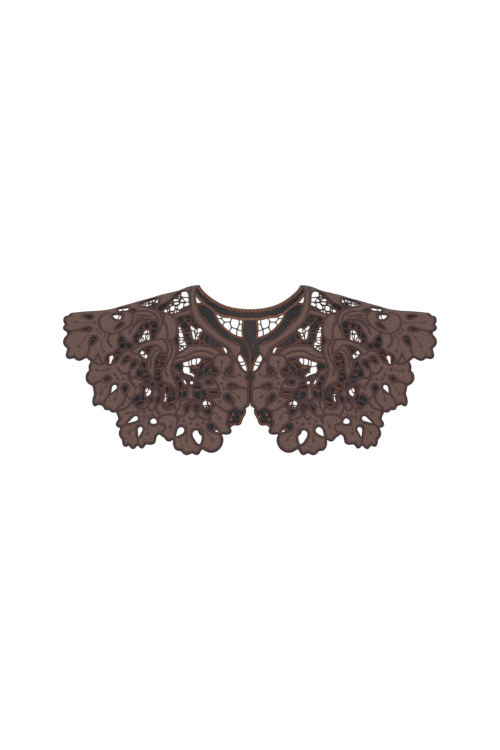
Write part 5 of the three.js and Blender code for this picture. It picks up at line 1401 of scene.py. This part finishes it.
# Cloth between a flat outline and its holes, with an outer face, an inner face and walls
# Returns its area in square metres
def addCloth(build, outline, holes, sides=(1, -1)):
    rings = [outline] + holes
    coords = [Vector(p) for ring in rings for p in ring]
    edges = []
    for ring in rings:
        start = len(edges)
        edges += [(start + i, start + (i + 1) % len(ring)) for i in range(len(ring))]
    low = [min(p[k] for p in outline) for k in (0, 1)]
    high = [max(p[k] for p in outline) for k in (0, 1)]
    grid, rowStep = cloth["grid"], cloth["grid"] * cloth["rowShare"]
    spots = np.array([(low[0] + (i + 0.5 * (j % 2)) * grid, low[1] + j * rowStep)
                      for j in range(int((high[1] - low[1]) / rowStep) + 1)
                      for i in range(int((high[0] - low[0]) / grid) + 1)])
    edgePlaces = np.array([tuple(c) for c in coords])
    for i in np.flatnonzero(onSheet(spots, outline, holes)):
        if distancesTo(edgePlaces, spots[i]).min() > cloth["clearShare"] * grid:
            coords.append(Vector(spots[i]))
    points, _, triangles, *_ = geometry.delaunay_2d_cdt(coords, edges, [], 0, cloth["weld"])
    flat = np.array([tuple(p) for p in points])
    centres = np.array([flat[list(t)].mean(0) for t in triangles])
    kept = []
    for i in np.flatnonzero(onSheet(centres, outline, holes)):
        t = list(triangles[i])
        kept.append(t if turning([tuple(flat[k]) for k in t]) > 0 else t[::-1])
    area = sum(turning([tuple(flat[k]) for k in t]) / 2 for t in kept)
    uses = {}
    for t in kept:
        for a, b in zip(t, t[1:] + t[:1]):
            uses[frozenset((a, b))] = (a, b) if frozenset((a, b)) not in uses else None
    rim = [e for e in uses.values() if e]
    if len(sides) == 2:
        rim = [e for e in rim if abs(flat[e[0]][0]) + abs(flat[e[1]][0]) >= cloth["middle"]]
    shared = {}
    for side in sides:
        number = {}
        for t in kept:
            for k in t:
                if k in number:
                    continue
                if k in shared:
                    number[k] = shared[k]
                    continue
                here, _, _, outward = clothFrame(side * flat[k][0], flat[k][1])
                number[k] = len(build["places"])
                build["places"] += [here + outward * cloth["half"], here - outward * cloth["half"]]
                if abs(flat[k][0]) < cloth["middle"]:
                    shared[k] = number[k]
        spots = [(side * float(p[0]), float(p[1])) for p in flat]
        for t in kept:
            addFace(build, [number[k] for k in t], 0, [spots[k] for k in t], side < 0)
            addFace(build, [number[k] + 1 for k in t], 1, [spots[k] for k in t], side > 0)
        for a, b in rim:
            addFace(build, [number[b], number[a], number[a] + 1, number[b] + 1], 0,
                    [spots[b], spots[a], spots[a], spots[b]], side < 0)
    return area * len(sides) * mm * mm


satin = {
    "rise": 1.25,        # mm from the middle of the cloth
    "sink": 1.25,
    "edgeWidth": 3.8,    # round the gaps of the front
    "edgeCover": 0.2,    # how far that cord lies over the gap
    "backWidth": 3.4,    # round the gaps of the back
    "backCover": 0.9,
    "eyeletWidth": 4.1,
    "eyeletCover": 0.4,  # how far the cord lies over the hole
    "eyeletRise": 1.05,
    "eyeletSink": 1.4,   # the walls of the eyelets
    "lineWidth": 3.4,    # inside the motifs
    "lineRise": 1.15,
    "rimWidth": 1.8,     # round the leaf inside the back of the neck
    "near": 3.4,         # a line that ends this near to another one meets it
    "fade": 6.0,         # length over which any other end dives into the cloth
    "veinWidth": 1.4,
    "veinRise": 0.9,
    "veinSink": 0.85,
    "veinShade": 0.6,
    "dotRadius": 2.6,
    "dotRise": 1.05,
    "dotSink": 1.0,
    # how much painted shade the dots take
    "dotDark": 0.55,
}
hem = {
    "width": 3.9,        # mm
    "facets": 14,
    "meeting": 4.5,      # from the middle to where the front halves part
    "seamGap": 0.1,      # from the middle to their cords
    "seamPull": 0.9,     # where the cords start to close up to the middle
    "seamReach": 2.4,    # and where they are back on their own line
    "notchReach": 7.5,   # short lines in from the notches
    "notchShade": 0.5,
}
net = {
    "width": 1.9,   # mm
    "facets": 6,
    "reach": 1.6,   # how far a thread runs on into the satin
    "near": 2.2,    # an end this near to the satin is held in it
    "meet": 1.2,    # an end this near to another thread is knotted to it
    "knot": 1.3,
}


# 1 or -1: the side of an open flat line that a flat point is on
def sideOf(line, point):
    middle = len(line) // 2
    a, n = line[middle], sideDirections(line, False)[middle]
    return 1 if (point[0] - a[0]) * n[0] + (point[1] - a[1]) * n[1] > 0 else -1


# An open flat line moved sideways, towards a flat point
def shifted(line, distance, towards):
    directions = sideDirections(line, False)
    sign = sideOf(line, towards)
    moved = [(p[0] + sign * distance * d[0] if p[0] > middleReach else 0.0,
              p[1] + sign * distance * d[1])
             for p, d in zip(line, directions)]
    return withoutLoops(moved, line, distance)


# Brings the hem's cord up to the middle where the front halves meet
def towardMiddle(line):
    edge = hem["width"] / 2
    slope = (hem["seamReach"] - hem["seamGap"]) / (hem["seamReach"] - hem["seamPull"])
    moved = []
    for across, down in line:
        gap = across - edge
        if gap < hem["seamReach"]:
            gap = hem["seamGap"] + max(0.0, gap - hem["seamPull"]) * slope
        moved.append((edge + gap, down))
    return moved


# Cords round the gaps and eyelets
def addGaps(build, gaps, eyelets, side, sides):
    word = "edge" if side == front else "back"
    width, cover = satin[word + "Width"], satin[word + "Cover"]
    for rows in gaps.values():
        middle = grown(flatLine(rows, side, True), width / 2 - cover)
        addCord(build, middle, width, satin["rise"], satin["sink"], closed=True, sides=sides)
    for row in eyelets:
        ring = eyeletRing(row, side, pointStep["cord"])
        middle = grown(ring, satin["eyeletWidth"] / 2 - satin["eyeletCover"])
        addCord(build, middle, satin["eyeletWidth"], satin["eyeletRise"], satin["eyeletSink"],
                closed=True, sides=sides)


# The edges of the gaps and eyelets
def openRings(gaps, eyelets, side):
    step = pointStep["hole"]
    return ([flatLine(rows, side, True, step) for rows in gaps.values()]
            + [eyeletRing(row, side, step) for row in eyelets])


# Short satin lines that run in from each notch of a hem
def addNotches(build, rows, side, outline, sides):
    for before, row, after in zip(rows, rows[1:], rows[2:]):
        if len(row) < 3:
            continue
        toward = [2 * row[k] - before[k] - after[k] for k in (0, 1)]
        length = math.hypot(*toward) or 1.0
        tip = [row[k] + hem["notchReach"] * toward[k] / length for k in (0, 1)]
        line = evenly([flattened(row[:2], side), flattened(tip, side)], pointStep["short"])
        if within(np.array(line[-1:]), outline)[0]:
            addCord(build, line, satin["lineWidth"], satin["rise"], satin["sink"], sides=sides,
                    shade=hem["notchShade"], fades=(0, hem["notchReach"]))


# The parts of a flat line that lie on cloth, clear of the gaps
def onCloth(line, rings):
    places = np.array(line)
    inside = np.zeros(len(line), bool)
    for ring in rings:
        inside |= within(places, ring)
    runs = [[]]
    for point, isInside in zip(line, inside):
        if isInside:
            runs.append([])
        else:
            runs[-1].append(point)
    return [run for run in runs if len(run) > 2]


# Lines inside the motifs; an end that meets no other line fades into the cloth
def addLines(build, groups, rings, edges, side, sides, width=satin["lineWidth"]):
    lines = [flatLine(rows, side) for group in groups.values() for rows in group]
    for line in lines:
        others = [other for other in lines + rings + edges if other is not line]
        others = np.array([p for other in others for p in other])
        for run in onCloth(line, rings):
            fades = []
            for end in (run[0], run[-1]):
                isFree = distancesTo(others, end).min() > satin["near"] and end[0] > middleReach
                fades.append(satin["fade"] if isFree else 0)
            addCord(build, run, width, satin["lineRise"], satin["sink"], sides=sides, fades=fades)


def addVeins(build, veins, knots, rings, side, sides):
    for rows in veins:
        for run in onCloth(flatLine(rows, side), rings):
            addCord(build, run, satin["veinWidth"], satin["veinRise"], satin["veinSink"],
                    sides=sides, shade=satin["veinShade"])
    for point in knots:
        addKnot(build, flattened(point, side), satin["dotRadius"], satin["dotRise"],
                satin["dotSink"], sides=sides, dark=satin["dotDark"])


# Threads across the gaps: straight between their knots, and at both ends held in the satin or
# knotted to another thread
def addThreads(build, threads, gaps, side, sides):
    for gap, lines in threads.items():
        edge = np.array(flatLine(gaps[gap], side, True))
        chains = [[flattened(p, side) for p in rows] for rows in lines]
        for chain in chains:
            others = [other for other in chains if other is not chain]
            others = [p for other in others for p in evenly(other, pointStep["meet"])]
            meets = np.array(others) if others else edge
            for end, other in ((0, 1), (-1, -2)):
                a, b = chain[end], chain[other]
                toEdge, toThread = distancesTo(edge, a), distancesTo(meets, a)
                nearest = toThread.min()
                if (nearest < min(net["meet"], toEdge.min())
                        or net["near"] < nearest < toEdge.min()):
                    chain[end] = tuple(float(v) for v in meets[toThread.argmin()])
                    addKnot(build, chain[end], net["knot"], net["knot"], net["knot"],
                            sides=sides, around=6, levels=2)
                    continue
                if toEdge.min() > net["near"]:
                    a = tuple(float(v) for v in edge[toEdge.argmin()])
                length = math.dist(a, b)
                chain[end] = tuple(a[k] + (a[k] - b[k]) / length * net["reach"] for k in (0, 1))
            thread = softened(evenly(chain, pointStep["net"]), False, 1)
            addCord(build, thread, net["width"], net["width"] / 2, net["width"] / 2,
                    ends="web", sides=sides, facets=net["facets"])


layout = {
    "ridgeStart": 76.0,  # mm from the middle, where the band's outer edge leaves the ridge
    "ridgePoints": 60,
    "seam": 1.5,         # how far the lace runs in under the band
}
frontHemLine = flatLine(hemFront, front)
tabLine = flatLine(tabEnd, front)
backHemLine = flatLine(hemBack, back)
neckFrontLine = flatLine(neckFront, front)
neckBackLine = flatLine(neckBack, back)
bandFrontLine = flatLine(bandFront, front)
bandBackLine = flatLine(bandBack, back)
neckLine = neckFrontLine[:-1] + neckBackLine
bandLine = bandFrontLine[::-1] + bandBackLine
ridgeEnd = hemFront[0][0]
ridgeStep = (ridgeEnd - layout["ridgeStart"]) / layout["ridgePoints"]
ridgeRow = [(layout["ridgeStart"] + ridgeStep * i, 0.0) for i in range(layout["ridgePoints"] + 1)]
# Flat points that say which side of an edge the cloth is on
inFront, inBack, inBand = (120.0, -100.0), (120.0, 100.0), (0.0, 0.0)
inNeck, outNeck, inTab = (0.0, 0.0), (200.0, 0.0), (40.0, -100.0)
print("flat lines laid")


clothSlots = ("brownCloth", "charcoalCloth")
satinSlots = ("plumSatin", "copperSatin", "shadedSatin")
netSlots = ("netPlum", "netCopper")
frontRings = openRings(gapsFront, eyeletsFront, front)
backRings = openRings(gapsBack, eyeletsBack, back)
frontHoles = [grown(ring, cloth["hidden"]) for ring in frontRings]
backHoles = [grown(ring, cloth["hidden"]) for ring in backRings]
frontOutline = (shifted(frontHemLine, cloth["hidden"], inFront)
                + shifted(bandFrontLine, layout["seam"], inBand)[::-1] + ridgeRow)
backOutline = (shifted(backHemLine, cloth["hidden"], inBack)
               + shifted(bandBackLine, layout["seam"], inBand)[::-1] + ridgeRow[1:-1])
bandOutline = (shifted(neckLine, cloth["hidden"], outNeck)
               + shifted(bandLine, layout["seam"], inNeck)[::-1]
               + shifted(tabLine, cloth["hidden"], inTab))


def makeFront(word, side):
    nodes = [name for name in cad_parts
             if name.endswith(word) and not name.startswith(("back", "neck", "front_clasp"))]
    sides = (side,)
    build = newBuild(*clothSlots)
    area = addCloth(build, frontOutline, frontHoles, sides)
    lace = finished("front_lace_" + word, build)
    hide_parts(*nodes)
    build = newBuild(*satinSlots)
    hemCord = towardMiddle(shifted(frontHemLine, hem["width"] / 2, inFront))
    # The hem's cord, with painted shade along its outer edge
    addCord(build, hemCord, hem["width"], satin["rise"], satin["sink"], sides=sides,
            facets=hem["facets"], darkFrom=hem["meeting"],
            darkSide=-sideOf(frontHemLine, inFront))
    addGaps(build, gapsFront, eyeletsFront, front, sides)
    addNotches(build, hemFront, front, frontOutline, sides)
    addLines(build, linesFront, frontRings, [frontHemLine, bandFrontLine], front, sides)
    addVeins(build, veinsFront, knotsFront, frontRings, front, sides)
    stitches = finished("front_satin_" + word, build)
    build = newBuild(*netSlots)
    addThreads(build, threadsFront, gapsFront, front, sides)
    threads = finished("front_net_" + word, build)
    low, high = [[pick(p[k] for p in frontOutline) * mm for k in (0, 1)] for pick in (min, max)]


for word, side in (("right", 1), ("left", -1)):
    makeFront(word, side)

glimpse = {"width": 2.4, "reach": 2.0, "rise": 0.5, "lift": -0.9, "glow": 0.7, "facets": 8}
ridge = {
    "start": 64.5,  # mm from the middle
    "behind": 1.5,
    "step": 2.0,
    "width": 2.8,
    "rise": 1.4,
    "sink": 1.0,
    "shade": 0.5,
}


# Copper satin on the inner face alone
def addGlimpse(build, rows):
    line = flatLine(rows, back)
    for end, other in ((0, 1), (-1, -2)):
        stretch = glimpse["reach"] / math.dist(line[end], line[other])
        tip = [line[end][k] + stretch * (line[end][k] - line[other][k]) for k in (0, 1)]
        line.insert(0 if end == 0 else len(line), tuple(tip))
    addCord(build, evenly(line, pointStep["short"]), glimpse["width"], glimpse["rise"],
            glimpse["rise"], slots=(1, 1), lift=glimpse["lift"], facets=glimpse["facets"],
            fades=(glimpse["reach"], glimpse["reach"]), glow=glimpse["glow"])


def makeBack():
    sides = (1, -1)
    build = newBuild(*clothSlots)
    area = addCloth(build, backOutline, backHoles)
    lace = finished("back_lace", build)
    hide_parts(*[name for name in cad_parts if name.startswith("back")])
    build = newBuild(*satinSlots)
    # The hem's cord, with painted shade along its outer edge
    addCord(build, shifted(backHemLine, hem["width"] / 2, inBack), hem["width"], satin["rise"],
            satin["sink"], facets=hem["facets"], darkSide=-sideOf(backHemLine, inBack))
    addGaps(build, gapsBack, eyeletsBack, back, sides)
    addNotches(build, hemBack, back, backOutline, sides)
    borders = [backHemLine, bandBackLine]
    addLines(build, linesBack, backRings, borders, back, sides)
    addLines(build, rimsBack, backRings, borders, back, sides, satin["rimWidth"])
    addVeins(build, veinsBack, knotsBack, backRings, back, sides)
    for rows in glimpses:
        addGlimpse(build, rows)
    # A satin cord just behind the ridge, its crown darkened with painted shade
    ridgeLine = evenly([(ridge["start"], 0.0), (ridgeEnd, 0.0)], ridge["step"])
    ridgeLine = [(across, ridge["behind"]) for across, _ in ridgeLine]
    addCord(build, ridgeLine, ridge["width"], ridge["rise"], ridge["sink"], shade=ridge["shade"])
    stitches = finished("back_satin", build)
    build = newBuild(*netSlots)
    addThreads(build, threadsBack, gapsBack, back, sides)
    threads = finished("back_net", build)


makeBack()

band = {
    "width": 12.0,      # mm
    "widest": 1.3,      # share of the width at its widest
    "mean": 1.15,       # share of the width along the whole of it
    "rollWidth": 2.6,   # satin rolls along both edges of the outer face
    "rollRise": 1.2,
    "rollSink": 0.8,
    "rollGlow": 0.5,    # of the roll along the neck
    "doubleWidth": 1.9,           # two copper lines inside the outer edge
    "doubleOffsets": (0.9, 2.8),  # from that edge
    "doubleRise": 0.6,
    "doubleLift": -0.95,
}
overlock = {  # copper stitches inside the neck edge
    "step": 1.15,     # mm
    "start": 0.8,     # from the edge
    "depth": 5.4,     # from the edge to the end of the longest
    "shorter": 0.6,   # how much each of three gets shorter
    "lengths": 3,
    "plumEvery": 4,
    "width": 1.25,
    "rise": 0.45,
    "lift": -1.15,
    "glow": 0.5,
    "facets": 6,
}


def addOverlock(build):
    line = evenly(neckLine, overlock["step"])
    toCloth = sideOf(line, outNeck)
    for i, (point, turn) in enumerate(zip(line, sideDirections(line, False))):
        depth = overlock["depth"] - overlock["shorter"] * (i % overlock["lengths"])
        stitch = [(point[0] + reach * turn[0], point[1] + reach * turn[1])
                  for reach in (overlock["start"] * toCloth, toCloth * depth)]
        slot = 0 if (i + 1) % overlock["plumEvery"] == 0 else 1
        if stitch[1][0] > 0:
            addCord(build, stitch, overlock["width"], overlock["rise"], overlock["rise"],
                    slots=(slot, slot), lift=overlock["lift"], facets=overlock["facets"],
                    glow=overlock["glow"], ends="flat")


def makeBand():
    build = newBuild(*clothSlots)
    area = addCloth(build, bandOutline, [])
    strip = finished("neck_band_cloth", build)
    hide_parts("neck_band")
    build = newBuild("plumSatin", "bandCopper", "shadedSatin", "charcoalCloth")
    for line, towards, inner, glow in (
            (neckLine, outNeck, 1, band["rollGlow"]), (bandLine, inNeck, 3, 1.0),
            (tabLine, inTab, 3, 1.0)):
        roll = shifted(line, band["rollWidth"] / 2, towards)
        addCord(build, roll, band["rollWidth"], band["rollRise"], band["rollSink"],
                slots=(0, inner), glow=glow)
    for offset in band["doubleOffsets"]:
        addCord(build, shifted(bandLine, offset, inNeck), band["doubleWidth"],
                band["doubleRise"], band["doubleRise"], slots=(1, 1), lift=band["doubleLift"])
    addOverlock(build)
    stitches = finished("neck_band_satin", build)


makeBand()
print("cloth, satin and net made")


# The clasp plate keeps its own solid
def steelMaterial():
    material, nodes, links, shader = newMaterial("claspSteel", 0.5)
    shader.inputs["Metallic"].default_value = 0.35
    place = nodes.new("ShaderNodeTexCoord")
    grain = addNode(nodes, "ShaderNodeTexNoise", Scale=900.0, Detail=3.0)
    links.new(place.outputs["Object"], grain.inputs["Vector"])
    colour = mixed(nodes, links, grain.outputs["Fac"], tone(34, 32, 33), tone(48, 45, 46))
    links.new(colour, shader.inputs["Base Color"])
    addBump(nodes, links, shader, grain.outputs["Fac"], strength=0.2, depth=0.0001)
    return material


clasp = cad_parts["front_clasp"]
clasp.data.materials.clear()
clasp.data.materials.append(steelMaterial())

studio = {
    "floor": -0.5,       # m
    "floorRadius": 6.0,
    "floorSides": 48,
    "sky": 1.06,
    "lightAim": (0, 0, -0.08),
}


def makeFloor():
    mesh = bpy.data.meshes.new("studio_floor")
    radius, sides = studio["floorRadius"], studio["floorSides"]
    turns = [2 * math.pi * k / sides for k in range(sides)]
    rim = [(radius * math.cos(turn), radius * math.sin(turn), studio["floor"]) for turn in turns]
    mesh.from_pydata(rim, [], [tuple(range(sides))])
    floor = bpy.data.objects.new("studio_floor", mesh)
    bpy.context.scene.collection.objects.link(floor)
    material, nodes, links, shader = newMaterial("paleFloor", 0.9, specular=0.1)
    place = nodes.new("ShaderNodeTexCoord")
    cloud = addNode(nodes, "ShaderNodeTexNoise", Scale=1.5, Detail=2.0)
    links.new(place.outputs["Object"], cloud.inputs["Vector"])
    colour = mixed(nodes, links, cloud.outputs["Fac"], tone(252, 252, 252), tone(255, 255, 255))
    links.new(colour, shader.inputs["Base Color"])
    mesh.materials.append(material)


lights = {
    "soft_key": {"place": (-0.5, -2.2, 1.5), "size": 1.4, "power": 26},
    "soft_fill": {"place": (1.0, -2.4, 0.6), "size": 1.6, "power": 10},
}


def makeLight(name, place, size, power):
    data = bpy.data.lights.new(name, "AREA")
    data.shape = "DISK"
    data.size = size
    data.energy = power
    light = bpy.data.objects.new(name, data)
    light.location = place
    light.rotation_mode = "QUATERNION"
    aim = Vector(studio["lightAim"]) - Vector(place)
    light.rotation_quaternion = aim.to_track_quat("-Z", "Y")
    bpy.context.scene.collection.objects.link(light)


def makeSky():
    world = bpy.data.worlds.new("white_studio")
    bpy.context.scene.world = world
    world.use_nodes = True
    sky = world.node_tree.nodes["Background"]
    sky.inputs["Color"].default_value = (1, 1, 1, 1)
    sky.inputs["Strength"].default_value = studio["sky"]
    bpy.context.scene.view_settings.view_transform = "Standard"


view = {
    "distance": 30.0,       # m from the camera to the neck
    "frameHeight": 0.9375,  # m that the picture's height covers at the collar
    "collarDepth": -0.06,   # where the picture's scale holds
    "middle": -0.1125,      # height at the picture's middle
    "sensor": 36,           # mm
    "farthest": 100,        # m
}


def makeCamera():
    lens = bpy.data.cameras.new("camera")
    lens.sensor_width = view["sensor"]
    lens.lens = view["sensor"] * (view["distance"] + view["collarDepth"]) / view["frameHeight"]
    lens.clip_end = view["farthest"]
    camera = bpy.data.objects.new("camera", lens)
    camera.location = (0, -view["distance"], view["middle"])
    camera.rotation_euler = (math.pi / 2, 0, 0)
    bpy.context.scene.collection.objects.link(camera)
    bpy.context.scene.camera = camera


makeFloor()
for name, light in lights.items():
    makeLight(name, **light)
makeSky()
makeCamera()
print("studio set")
